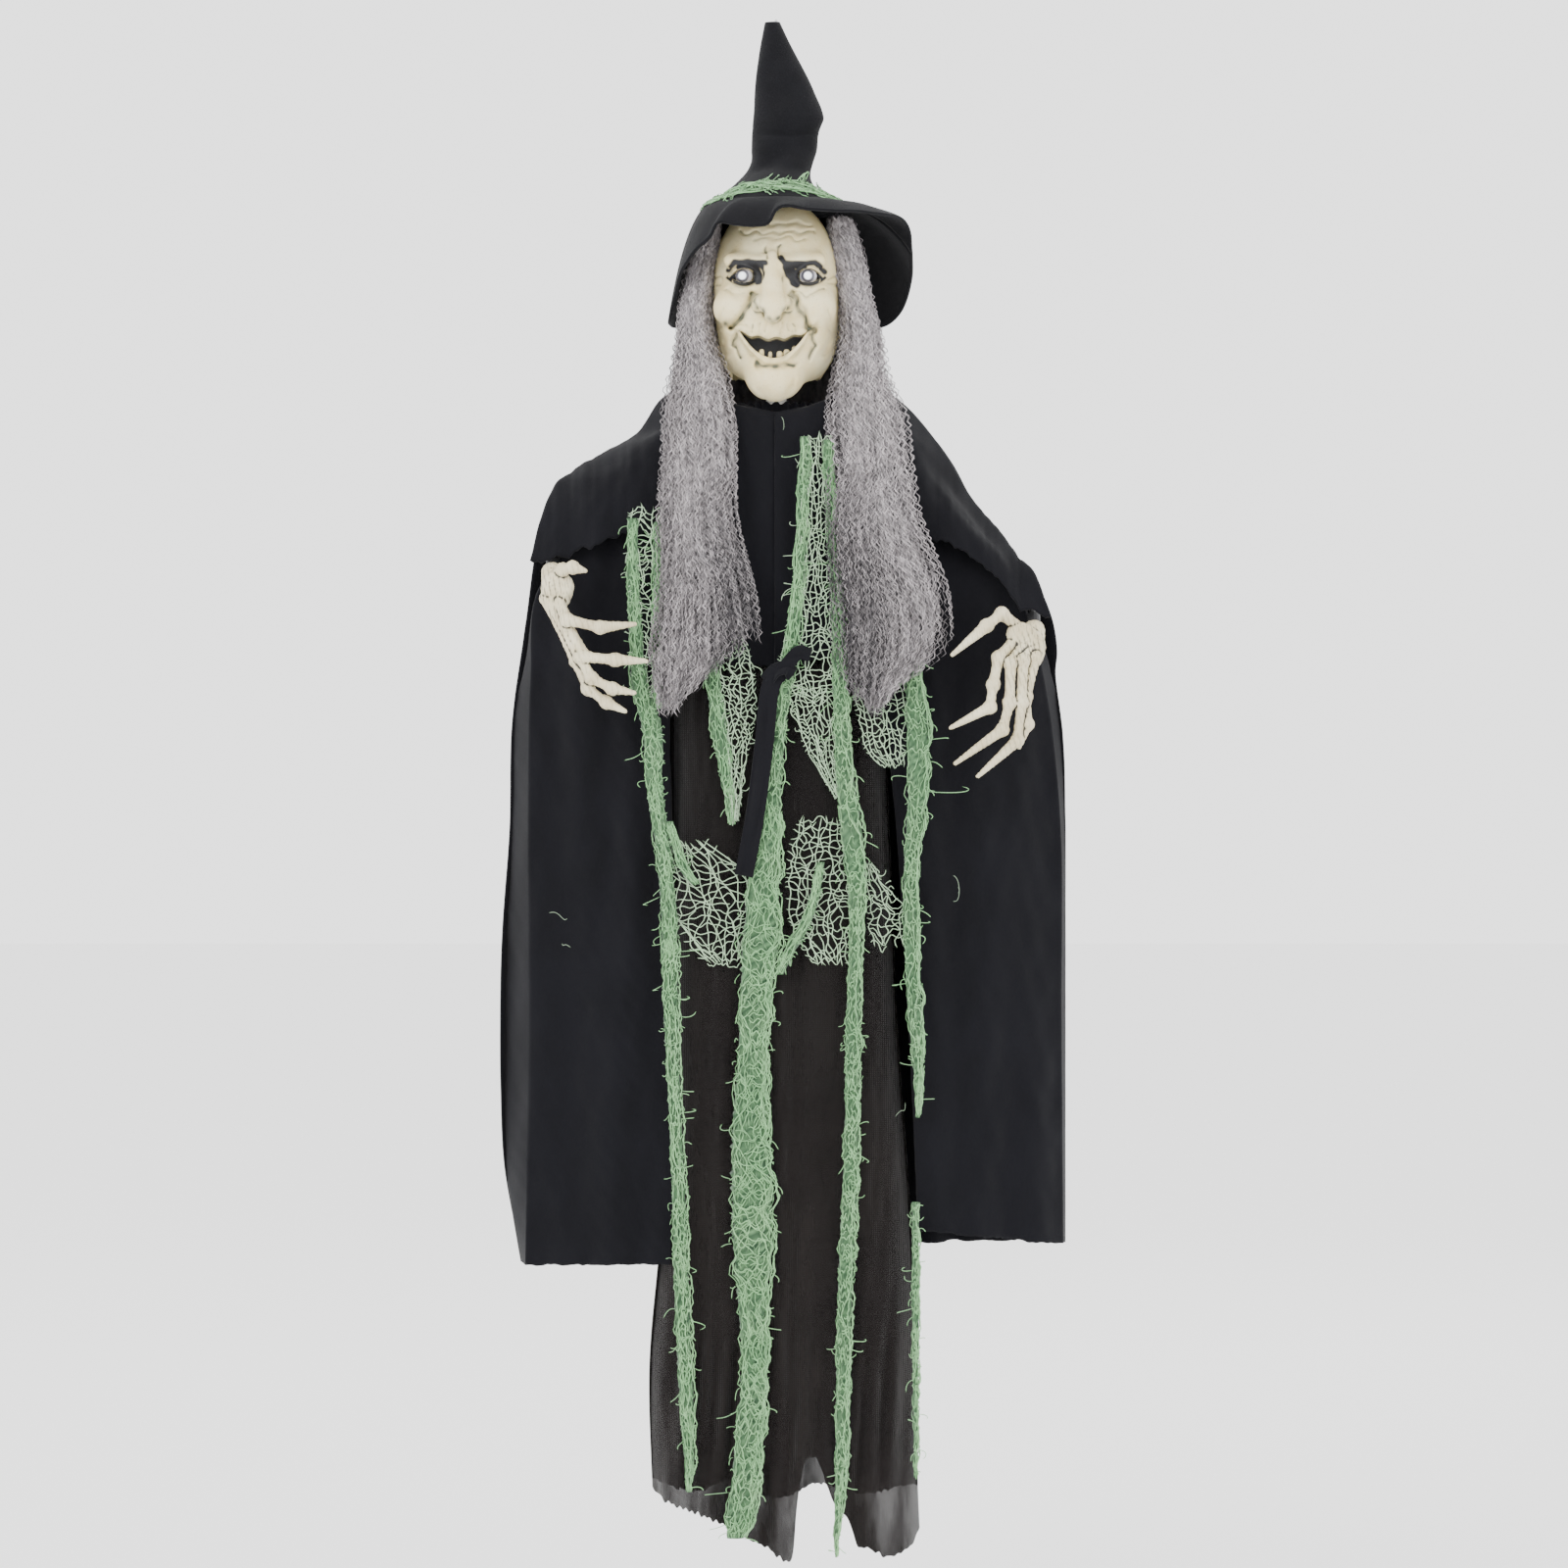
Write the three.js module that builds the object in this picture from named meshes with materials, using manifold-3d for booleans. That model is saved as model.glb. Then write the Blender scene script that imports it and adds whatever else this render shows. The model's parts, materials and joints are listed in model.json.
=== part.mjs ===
// Hanging animated witch figure, 0.91 m tall. A moulded head with lit eyes turns on a motor box in the chest,
// wire arms pivot at the shoulders and moulded hands turn on wrist pegs. A black cape, a sheer dress, net
// drapes, long hair and a felt hat hang on the frame. Millimetres. The origin is the point where a hook carries
// the hanging eye at the tip of the hat; +Z is up, -Y is the side the face looks to, +X is to the right seen
// from there.
import * as THREE from "three";
import { mergeVertices } from "three/addons/utils/BufferGeometryUtils.js";
import Module from "manifold-3d";

const wasm = await Module();
wasm.setup();

// ---- Driving dimensions ----
const GAP = 0.3; // between neighbouring pieces
const WALL = 2; // plastic shells
const CLOTH = 3; // thickness given to a hanging layer of cloth

const HEAD_Z = -166; // centre of the head
const HEAD = { halfWidth: 41, faceDepth: 46, skullDepth: 38, halfHeight: 62 };
const EYE = { x: 18.8, z: 11, y: -36, radius: 5.2 }; // z above the head's centre
const NECK_HOLE = 26; // radius left free under the jaw

const ROD_RADIUS = 1.5; // steel hanger rod on the neck axis
const EYELET = { radius: 4.2, wire: 1 }; // the rod's top end, bent round for a hook
const EYELET_Z = EYELET.wire - EYELET.radius; // its inner top is at the origin
const BOX = { halfWidth: 45, front: -24, split: 12, back: 40, top: -262, bottom: -372, corner: 6 };
const PAD = { halfWidth: 31, top: -268, bottom: -370, back: 46 }; // raised back of the motor box
const DOOR = { halfWidth: 27, top: -306, bottom: -368, thickness: 1.7 };
const TRAY = { halfWidth: 25, front: 27, back: 43.7, top: -308, bottom: -367, wall: 1.4 };
const AA = { radius: 7.1, length: 48.5, pitch: 15.2, y: 35.5, z: -338.6 };
const SCREW = { shank: 1.3, head: 2.7, hole: 1.7, headHole: 3.1, boss: 3.6 }; // radii

const MODULE = 0.8; // gear module
const TEETH = { head: 36, small: 10, large: 30, pinion: 10 };
const LEVEL = { headGear: -276, wheel: -283, plate: -287 }; // undersides inside the motor box
const WHEEL_X = (MODULE * (TEETH.head + TEETH.small)) / 2;
const MOTOR_REACH = (MODULE * (TEETH.large + TEETH.pinion)) / 2;
const MOTOR_X = WHEEL_X + MOTOR_REACH * Math.SQRT1_2;
const MOTOR_Y = -MOTOR_REACH * Math.SQRT1_2;

const SHOULDER = { x: 52, z: -275, pin: 1.5 };
const ARM_RADIUS = 2;
const PEG_RADIUS = 4; // of the wrist pegs
const WRIST_DIRECTION = new THREE.Vector3(0, -0.6, -0.8); // along both forearms, towards the hand
const WRIST = { left: [-132, -36, -332], right: [152, -36, -366] };

// Layers of cloth over the chest, from the box outwards: the y of each layer's front face.
const LAYER = { cape: -28, capelet: -34, dress: -40, net: -46, sash: -52 };

// ---- Materials ----
const material = (color, roughness, metalness = 0) =>
  new THREE.MeshStandardMaterial({ color, roughness, metalness });
const M = {
  bone: material(0xe6dcc0, 0.6),
  eye: material(0xeef0f2, 0.2),
  hair: material(0xb0a9ac, 0.7),
  blackCloth: material(0x17171a, 0.95),
  sheerCloth: material(0x1d1917, 0.9),
  greenNet: material(0x8fc48f, 0.95),
  felt: material(0x121214, 1),
  blackPlastic: material(0x1c1c1e, 0.5),
  whitePlastic: material(0xe9e7df, 0.45),
  steel: material(0xb9bcc0, 0.35, 0.9),
  motorCan: material(0xc6c8ca, 0.3, 0.9),
  board: material(0x1f5a33, 0.6),
  led: material(0xf2f4ff, 0.15),
  battery: material(0x2f5f9e, 0.4),
  red: material(0xb3262a, 0.45),
  copper: material(0xb8733a, 0.4),
};

// ---- Solids ----
function solid(geometry) {
  const bare = geometry.clone();
  bare.deleteAttribute("normal");
  bare.deleteAttribute("uv");
  const merged = mergeVertices(bare, 1e-4);
  return new wasm.Manifold(
    new wasm.Mesh({
      numProp: 3,
      vertProperties: new Float32Array(merged.attributes.position.array),
      triVerts: new Uint32Array(merged.index.array),
    }),
  );
}

function geometryOf(made) {
  const mesh = made.getMesh();
  const geometry = new THREE.BufferGeometry();
  geometry.setAttribute("position", new THREE.BufferAttribute(new Float32Array(mesh.vertProperties), 3));
  geometry.setIndex(new THREE.BufferAttribute(new Uint32Array(mesh.triVerts), 1));
  geometry.computeVertexNormals();
  return geometry;
}

const joined = (first, ...more) => geometryOf(more.reduce((all, g) => all.add(solid(g)), solid(first)));
const less = (first, ...tools) => geometryOf(tools.reduce((all, g) => all.subtract(solid(g)), solid(first)));

// A box between two corners.
function block(low, high) {
  const size = high.map((v, i) => v - low[i]);
  return new THREE.BoxGeometry(...size).translate(...low.map((v, i) => v + size[i] / 2));
}

// A cylinder between two heights on a vertical axis.
const post = (radius, z0, z1, x = 0, y = 0, sides = 24, topRadius = radius) =>
  new THREE.CylinderGeometry(topRadius, radius, z1 - z0, sides)
    .rotateX(Math.PI / 2)
    .translate(x, y, (z0 + z1) / 2);

// A cylinder between two depths on a front-to-back axis.
const bolt = (radius, y0, y1, x, z, sides = 16) =>
  new THREE.CylinderGeometry(radius, radius, y1 - y0, sides).translate(x, (y0 + y1) / 2, z);

const ellipsoid = (rx, ry, rz, x, y, z, across = 20, up = 14) =>
  new THREE.SphereGeometry(1, across, up).rotateX(Math.PI / 2).scale(rx, ry, rz).translate(x, y, z);

// A body of revolution about the vertical axis, from [radius, z] points that run round the section.
const turned = (profile, sides = 32) =>
  new THREE.LatheGeometry([...profile, profile[0]].map(([r, z]) => new THREE.Vector2(r, z)), sides).rotateX(
    Math.PI / 2,
  );

// A flat outline in x and z, given a thickness from y0 (front) to y1 (back).
function slab(outline, y0, y1, holes = []) {
  const shape = new THREE.Shape(outline.map(([x, z]) => new THREE.Vector2(x, z)));
  for (const hole of holes) shape.holes.push(new THREE.Path(hole.map(([x, z]) => new THREE.Vector2(x, z))));
  return new THREE.ExtrudeGeometry(shape, { depth: y1 - y0, bevelEnabled: false })
    .rotateX(Math.PI / 2)
    .translate(0, y1, 0);
}

function rectangle(x0, x1, z0, z1) {
  return [[x0, z0], [x1, z0], [x1, z1], [x0, z1]];
}

// A rectangle in x and z with round corners, given a thickness from y0 to y1.
function roundedSlab(halfWidth, z0, z1, corner, y0, y1) {
  const shape = new THREE.Shape()
    .moveTo(corner - halfWidth, z0)
    .lineTo(halfWidth - corner, z0)
    .quadraticCurveTo(halfWidth, z0, halfWidth, z0 + corner)
    .lineTo(halfWidth, z1 - corner)
    .quadraticCurveTo(halfWidth, z1, halfWidth - corner, z1)
    .lineTo(corner - halfWidth, z1)
    .quadraticCurveTo(-halfWidth, z1, -halfWidth, z1 - corner)
    .lineTo(-halfWidth, z0 + corner)
    .quadraticCurveTo(-halfWidth, z0, corner - halfWidth, z0);
  return new THREE.ExtrudeGeometry(shape, { depth: y1 - y0, bevelEnabled: false, curveSegments: 3 })
    .rotateX(Math.PI / 2)
    .translate(0, y1, 0);
}

// A round bar along a smooth curve through points.
function bar(points, radius, sides = 8, steps = 24) {
  const knots = points.map((p) => new THREE.Vector3(...p));
  const path = new THREE.CatmullRomCurve3(knots, false, "catmullrom", 0.5);
  const section = new THREE.Shape();
  for (let i = 0; i < sides; i++) {
    const a = (2 * Math.PI * i) / sides;
    section[i ? "lineTo" : "moveTo"](radius * Math.cos(a), radius * Math.sin(a));
  }
  return new THREE.ExtrudeGeometry(section, { steps, extrudePath: path, bevelEnabled: false });
}

// A closed form through level rings, each [x, y, z, half width, half depth], from the top down.
function lofted(rings, sides = 12) {
  const geometry = new THREE.CylinderGeometry(1, 1, 1, sides, rings.length - 1).rotateX(Math.PI / 2);
  const p = geometry.attributes.position;
  for (let i = 0; i < p.count; i++) {
    const [x, y, z, rx, ry] = rings[Math.round((0.5 - p.getZ(i)) * (rings.length - 1))];
    p.setXYZ(i, x + rx * p.getX(i), y + ry * p.getY(i), z);
  }
  return geometry;
}

// A strip of cloth down a line of [x, z, width] points, as one flat outline.
function strip(line, y0, y1) {
  const left = line.map(([x, z, w]) => [x - w / 2, z]);
  const right = line.map(([x, z, w]) => [x + w / 2, z]).reverse();
  return slab([...left, ...right], y0, y1);
}

// A spur gear with straight-sided teeth, cut thin so that it runs with play.
function gear(teeth, z0, z1, bore) {
  const pitch = (MODULE * teeth) / 2;
  const tip = pitch + 0.85 * MODULE;
  const root = pitch - 1.15 * MODULE;
  const step = (2 * Math.PI) / teeth;
  const shape = new THREE.Shape();
  for (let i = 0; i < teeth; i++) {
    for (const [radius, share] of [[root, -0.3], [tip, -0.085], [tip, 0.085], [root, 0.3]]) {
      const a = (i + share) * step;
      shape[i || share !== -0.3 ? "lineTo" : "moveTo"](radius * Math.cos(a), radius * Math.sin(a));
    }
  }
  shape.holes.push(new THREE.Path().absarc(0, 0, bore, 0, 2 * Math.PI, true));
  const depth = z1 - z0;
  return new THREE.ExtrudeGeometry(shape, { depth, bevelEnabled: false, curveSegments: 6 }).translate(0, 0, z0);
}

const witch = new THREE.Group();

function add(name, geometry, look, parent = witch) {
  const mesh = new THREE.Mesh(geometry, look);
  mesh.name = name;
  parent.add(mesh);
  return mesh;
}

// ---- Head: moulded shells, eyes and their lights, on the neck tube ----
const headGroup = new THREE.Group();
headGroup.position.z = HEAD_Z;
witch.add(headGroup);

// What both shells leave open: the neck, and the hanger rod through the top.
const HEAD_OPENINGS = [post(NECK_HOLE, -80, -38), post(ROD_RADIUS + 1, 40, 80)];

function skull(depth, wall) {
  const { halfWidth, halfHeight } = HEAD;
  return ellipsoid(halfWidth - wall, depth - wall, halfHeight - wall, 0, 0, 0, 18, 10);
}

function faceMask() {
  const keepFront = block([-60, 0, -80], [60, 80, 80]).translate(0, -1, 0);
  const form = joined(
    skull(HEAD.faceDepth, 0),
    ellipsoid(17, 12, 15, 2, -33, -47, 10, 7), // chin
    ellipsoid(8, 15, 13, 0, -46, -11, 10, 7), // nose
    ellipsoid(30, 7, 8, 0, -39, 19, 12, 6), // brow
  );
  const hollow = joined(skull(HEAD.faceDepth, WALL), ellipsoid(14, 9.5, 12.5, 2, -33, -46, 10, 6));
  const eyes = [-1, 1].map((side) => bolt(EYE.radius + GAP, -60, -28, side * EYE.x, EYE.z, 16));
  const mouth = ellipsoid(17, 14, 5, 1, -40, -29, 12, 6);
  return less(form, hollow, keepFront, ...eyes, mouth, ...HEAD_OPENINGS);
}

function headBack() {
  const keepBack = block([-60, -80, -80], [60, 0, 80]).translate(0, -1 + GAP, 0);
  return less(skull(HEAD.skullDepth, 0), skull(HEAD.skullDepth, WALL), keepBack, ...HEAD_OPENINGS);
}

add("face_mask", faceMask(), M.bone, headGroup);
add("head_back_shell", headBack(), M.bone, headGroup);
for (const [side, name] of [[-1, "left"], [1, "right"]]) {
  const x = side * EYE.x;
  const lens = new THREE.SphereGeometry(EYE.radius, 12, 8).rotateX(Math.PI / 2).translate(x, EYE.y, EYE.z);
  add(`eye_lens_${name}`, lens, M.eye, headGroup);
  add(`eye_led_${name}`, bolt(2.5, EYE.y + EYE.radius + 2 * GAP, -21.8, x, EYE.z, 12), M.led, headGroup);
}
add("eye_light_bracket", block([-26, -21.5, 7], [26, -19.5, 15]), M.board, headGroup);

const NECK_TOP = -204; // top of the flange that carries the head
function neckTube() {
  const tube = turned(
    [
      [2.5, -277], [6, -277], [6, -258.6], [9, -258.6], [9, -255.5], [6, -255.5], [6, -212], [10, -207],
      [25, -207], [25, NECK_TOP], [2.5, NECK_TOP],
    ],
    28,
  );
  return joined(tube, block([-6, -19.2, NECK_TOP - 2], [6, -16, HEAD_Z + 15]));
}
add("neck_tube", neckTube(), M.whitePlastic);
add("head_gear", gear(TEETH.head, LEVEL.headGear, LEVEL.headGear + 4, 6 + GAP), M.whitePlastic);

// ---- Felt hat ----
const CROWN = [
  // x, y, z, half width, half depth, from the tip down
  [-0.5, 0, -9.6, 4.6, 5],
  [1.5, 0, -30, 9.5, 8],
  [6.5, 0, -56, 17.5, 12],
  [5, 0, -74, 16, 13],
  [3.5, 0, -90, 18, 17],
  [2, 0, -99, 29, 30],
  [1, 1, -108, 42, 43],
];
function hatCrown() {
  const inner = CROWN.slice(1).map(([x, y, z, rx, ry]) => [x, y, z - 2.5, rx - 2.5, ry - 2.5]);
  inner.push([1, 1, -112, 40.5, 41.5]);
  return less(lofted(CROWN, 16), lofted(inner, 16), post(ROD_RADIUS + 0.8, -60, 5, 0, 0, 12));
}

// The brim is flat cloth round the crown that droops over the two sides of the head.
const BRIM = { inner: 43, middle: 58, outer: 76, under: -112.5, top: -110, droop: 58 };
function hatBrim() {
  const { inner, middle, outer, under, top } = BRIM;
  const section = [[inner, under], [middle, under], [outer, under], [outer, top], [middle, top], [inner, top]];
  const geometry = turned(section, 40);
  const p = geometry.attributes.position;
  for (let i = 0; i < p.count; i++) {
    const radius = Math.hypot(p.getX(i), p.getY(i));
    const side = p.getX(i) / radius;
    const out = (radius - inner) / (outer - inner);
    const droop = (6 + BRIM.droop * side ** 4) * out + 4 * side ** 2;
    const narrow = 1 - 0.16 * out * side ** 2;
    const wider = 8 * out * Math.max(side, 0);
    p.setXYZ(i, p.getX(i) * narrow + wider, p.getY(i) * (1 - 0.12 * out) + 1, p.getZ(i) - droop);
  }
  return geometry;
}

function hatBand() {
  const geometry = new THREE.TorusGeometry(35, 3, 6, 20);
  const p = geometry.attributes.position;
  for (let i = 0; i < p.count; i++) {
    const side = p.getX(i) / Math.hypot(p.getX(i), p.getY(i));
    p.setXYZ(i, p.getX(i) + 1.5, p.getY(i) * 1.02 + 1, p.getZ(i) - 101 - 1.5 * side ** 2);
  }
  return geometry;
}
const crownRoom = lofted(CROWN.map(([x, y, z, rx, ry]) => [x, y, z, rx + GAP, ry + GAP]), 16);
add("hat_crown", hatCrown(), M.felt);
add("hat_brim", hatBrim(), M.felt);
add("hat_band", less(hatBand(), crownRoom), M.greenNet);

// ---- Hair: two long locks over the chest and a short back ----
const HAIR = {
  hair_left: [
    [-44, -8, -138, 4, 12],
    [-49, -10, -165, 6, 13],
    [-50, -18, -192, 8, 13],
    [-46, -38, -226, 15, 8],
    [-41, -57, -262, 18, 7],
    [-35, -57, -335, 23, 7],
    [-42, -57, -385, 19, 6],
    [-44, -57, -407, 12, 5],
  ],
  hair_right: [
    [44, -8, -138, 4, 12],
    [52, -10, -165, 7, 13],
    [55, -18, -192, 10, 13],
    [56, -38, -226, 16, 8],
    [59, -57, -262, 20, 7],
    [63, -57, -335, 29, 7],
    [64, -57, -385, 22, 6],
    [60, -57, -407, 13, 5],
  ],
  hair_back: [
    [0, 34, -122, 26, 5],
    [0, 44, -150, 36, 4],
    [0, 45.5, -200, 38, 4],
    [0, 50.5, -232, 35, 4],
    [0, 51, -264, 32, 4],
  ],
};
// Room for the head is cut out of the locks, so that the hair lies against it.
const headRoom = skull(HEAD.faceDepth, -0.5).translate(0, 0, HEAD_Z);
for (const [name, rings] of Object.entries(HAIR)) add(name, less(lofted(rings, 12), headRoom), M.hair);

// ---- Motor box ----
const BOLTS = [[-38.5, -268.5], [38.5, -268.5], [-38.5, -365.5], [38.5, -365.5]];
const { halfWidth: BW, top: BT, bottom: BB } = BOX;

function housingFront() {
  const shell = less(
    roundedSlab(BW, BB, BT, BOX.corner, BOX.front, BOX.split),
    roundedSlab(BW - WALL, BB + WALL, BT - WALL, BOX.corner - WALL, BOX.front + WALL, BOX.split + 1),
  );
  const bosses = BOLTS.map(([x, z]) => bolt(SCREW.boss, BOX.front + 1, BOX.split, x, z, 12));
  const holes = BOLTS.map(([x, z]) => bolt(SCREW.hole, BOX.front + 8, BOX.split + 1, x, z, 10));
  const ears = [-1, 1].flatMap((side) =>
    [-7, 4.4].map((y) => {
      const [x0, x1] = [side * (BW - 1), side * (SHOULDER.x + 5)].sort((a, b) => a - b);
      return block([x0, y, SHOULDER.z - 6], [x1, y + 2.6, SHOULDER.z + 6]);
    }),
  );
  const pins = [-1, 1].map((side) => bolt(1.8, -9, 9, side * SHOULDER.x, SHOULDER.z, 12));
  return less(joined(shell, ...bosses, ...ears), ...holes, ...pins, post(9 + GAP, BT - 5, BT + 5));
}

function housingBack() {
  const y0 = BOX.split + GAP;
  const shell = joined(
    roundedSlab(BW, BB, BT, BOX.corner, y0, BOX.back),
    roundedSlab(PAD.halfWidth, PAD.bottom, PAD.top, 4, BOX.back - 1, PAD.back),
  );
  const inside = BOX.back - WALL;
  const hollow = joined(
    roundedSlab(BW - WALL, BB + WALL, BT - WALL, BOX.corner - WALL, y0 - 1, inside),
    roundedSlab(PAD.halfWidth - WALL, PAD.bottom + WALL, PAD.top - WALL, 3, inside - 1, PAD.back - WALL),
  );
  const bosses = BOLTS.map(([x, z]) => bolt(SCREW.boss, y0, BOX.back - 1, x, z, 12));
  const shafts = BOLTS.map(([x, z]) => bolt(SCREW.hole, y0 - 1, BOX.back, x, z, 10));
  const heads = BOLTS.map(([x, z]) => bolt(SCREW.headHole, BOX.back - 2.2, BOX.back + 1, x, z, 12));
  const door = block(
    [-DOOR.halfWidth - GAP, PAD.back - 4, DOOR.bottom - 1],
    [DOOR.halfWidth + GAP, PAD.back + 1, DOOR.top + GAP],
  );
  const grille = [0, 1, 2, 3, 4, 5].map((i) => {
    const x = -24 + 4 * i;
    return block([x, PAD.back - 4, -297], [x + 1.8, PAD.back + 1, -278]);
  });
  const slot = block([8, PAD.back - 4, -281], [20, PAD.back + 1, -276.4]);
  const button = bolt(4 + GAP, PAD.back - 4, PAD.back + 1, 14, -292, 16);
  return less(joined(less(shell, hollow), ...bosses), ...shafts, ...heads, door, ...grille, slot, button);
}

add("housing_front", housingFront(), M.blackPlastic);
add("housing_back", housingBack(), M.blackPlastic);
BOLTS.forEach(([x, z], i) => {
  const shank = bolt(SCREW.shank, BOX.split - 8, BOX.back - 1.9, x, z, 10);
  const head = bolt(SCREW.head, BOX.back - 2, BOX.back - 0.4, x, z, 12);
  add(`housing_screw_${i + 1}`, joined(shank, head), M.steel);
});

// The neck turns in a flanged bush set in the top of the box.
const BUSH = { bore: 6 + GAP, sleeve: 9, flange: 11.5, under: BT - 5, seat: BT + GAP, top: BT + 2.8 };
const bushSection = [
  [BUSH.bore, BUSH.under], [BUSH.sleeve, BUSH.under], [BUSH.sleeve, BUSH.seat], [BUSH.flange, BUSH.seat],
  [BUSH.flange, BUSH.top], [BUSH.bore, BUSH.top],
];
add("neck_bush", turned(bushSection, 28), M.whitePlastic);
add(
  "gear_plate",
  joined(
    less(
      block([-42.5, BOX.front + WALL + 0.5, LEVEL.plate], [42.5, BOX.split - 0.4, LEVEL.plate + 2.5]),
      post(ROD_RADIUS + GAP, LEVEL.plate - 1, LEVEL.plate + 4),
      post(3.5, LEVEL.plate - 1, LEVEL.plate + 4, MOTOR_X, MOTOR_Y, 16),
    ),
    post(1, LEVEL.plate + 1, -269, WHEEL_X, 0, 12), // axle of the reduction gear
  ),
  M.whitePlastic,
);
const eyelet = new THREE.TorusGeometry(EYELET.radius, EYELET.wire, 8, 16).rotateY(Math.PI / 2);
add(
  "hanger_rod",
  joined(
    post(ROD_RADIUS, LEVEL.plate - 7, EYELET_Z - EYELET.radius, 0, 0, 12),
    eyelet.translate(0, 0, EYELET_Z),
  ),
  M.steel,
);
const nut = post(4.2, LEVEL.plate - 4.3, LEVEL.plate - GAP, 0, 0, 6);
add("hanger_nut", less(nut, post(ROD_RADIUS + GAP, LEVEL.plate - 7, LEVEL.plate + 7)), M.steel);
const AXLE_BORE = 1 + GAP;
const largeWheel = gear(TEETH.large, LEVEL.wheel, LEVEL.wheel + 3.4, AXLE_BORE).rotateZ(0.05 * Math.PI);
const smallWheel = gear(TEETH.small, LEVEL.wheel + 3.3, LEVEL.headGear + 4.4, AXLE_BORE);
smallWheel.rotateZ(Math.PI + Math.PI / TEETH.small);
const reductionGear = add("reduction_gear", joined(largeWheel, smallWheel), M.whitePlastic);
reductionGear.position.x = WHEEL_X;
add(
  "motor",
  less(
    joined(post(8, -313, LEVEL.plate - GAP, 0, 0, 20), post(3, -315, -312.9, 0, 0, 14)),
    post(1 + GAP, -300, -285, 0, 0, 10),
  ),
  M.motorCan,
).position.set(MOTOR_X, MOTOR_Y, 0);
const pinion = add(
  "motor_pinion",
  joined(gear(TEETH.pinion, LEVEL.wheel - 0.4, LEVEL.wheel + 4, 0.6), post(1, -298, LEVEL.wheel + 4, 0, 0, 10)),
  M.steel,
);
pinion.position.set(MOTOR_X, MOTOR_Y, 0);
pinion.rotation.z = Math.PI * 0.75;

add(
  "circuit_board",
  joined(
    block([-39, -20.5, -356], [-1, -18.9, -298]),
    block([-32, -19, -332], [-20, -16.6, -320]), // sound chip
    post(3.2, -318, -308, -10, -15.5, 12), // capacitor, which leans on the board
    block([-13, -19, -318], [-7, -15, -308]),
  ),
  M.board,
);
const speakerSection = [[0, 0], [6, 0], [6, 4], [15, 8], [15, 10.4], [0, 10.4]];
const speaker = turned(speakerSection, 24).rotateX(-Math.PI / 2);
add("speaker", speaker, M.blackPlastic).position.set(-13, 33, -287.5);
add("slide_switch", block([7, 34, -283], [21, 41.5, -274.5]), M.steel);
add("tact_switch", block([10, 34, -296], [18, 40.6, -288]), M.blackPlastic);
const knob = joined(block([0, 0, 0], [6.2, 0.9, 4]), block([1, 0.5, 0.6], [4.6, 3.7, 3.4]));
add("switch_knob", knob, M.blackPlastic).position.set(8.2, 42, -280.7);
const button = joined(bolt(5.2, 0, 1, 0, 0, 16), bolt(4, 0.5, 3.2, 0, 0, 16));
add("try_me_button", button, M.red).position.set(14, 42.6, -292);

// ---- Batteries, their tray, contacts and door ----
const TRAY_INSIDE = TRAY.halfWidth - TRAY.wall;
add(
  "battery_tray",
  less(
    block([-TRAY.halfWidth, TRAY.front, TRAY.bottom], [TRAY.halfWidth, TRAY.back, TRAY.top]),
    block(
      [-TRAY_INSIDE, TRAY.front + 1.2, TRAY.bottom + TRAY.wall],
      [TRAY_INSIDE, TRAY.back + 1, TRAY.top - 4],
    ),
    bolt(SCREW.hole, TRAY.front + 6, TRAY.back + 1, 0, TRAY.top - 1.9, 10), // the door's screw
  ),
  M.blackPlastic,
);
[-1, 0, 1].forEach((column, i) => {
  const up = i % 2 ? -1 : 1;
  const cell = joined(
    post(AA.radius, -AA.length / 2, AA.length / 2, 0, 0, 20),
    post(2.7, AA.length / 2 - 0.1, AA.length / 2 + 1.2, 0, 0, 12),
  );
  const mesh = add(`battery_${i + 1}`, cell, M.battery);
  mesh.position.set(column * AA.pitch, AA.y, AA.z);
  mesh.rotation.x = up > 0 ? 0 : Math.PI;
});
const CONTACT_THICKNESS = 0.5;
for (const [name, z] of [["upper", TRAY.top - 4.8], ["lower", TRAY.bottom + 1.7]]) {
  add(`battery_contact_${name}`, block([-22.5, 30.5, z], [22.5, 40.5, z + CONTACT_THICKNESS]), M.steel);
}

const door = new THREE.Group();
door.position.set(0, PAD.back - DOOR.thickness / 2 - 0.2, DOOR.bottom + 0.5);
witch.add(door);
const DOOR_HEIGHT = DOOR.top - DOOR.bottom;
const DOOR_FACE = DOOR.thickness / 2;
const screwZ = DOOR_HEIGHT - 4.4;
const fingerGrooves = [42, 45, 48].map((z) => block([-8, DOOR_FACE - 0.5, z], [8, DOOR_FACE + 1, z + 1.2]));
add(
  "battery_door",
  less(
    block([-DOOR.halfWidth, -DOOR_FACE, -0.5], [DOOR.halfWidth, DOOR_FACE, DOOR_HEIGHT - 0.8]),
    bolt(1.5, -3, 3, 0, screwZ, 12),
    bolt(2.6, 0, 3, 0, screwZ, 12),
    ...fingerGrooves,
  ),
  M.blackPlastic,
  door,
);
const doorScrew = joined(bolt(1.2, -6, 0.4, 0, screwZ, 10), bolt(2.3, 0.2, 0.8, 0, screwZ, 12));
add("battery_door_screw", doorScrew, M.steel, door);

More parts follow.
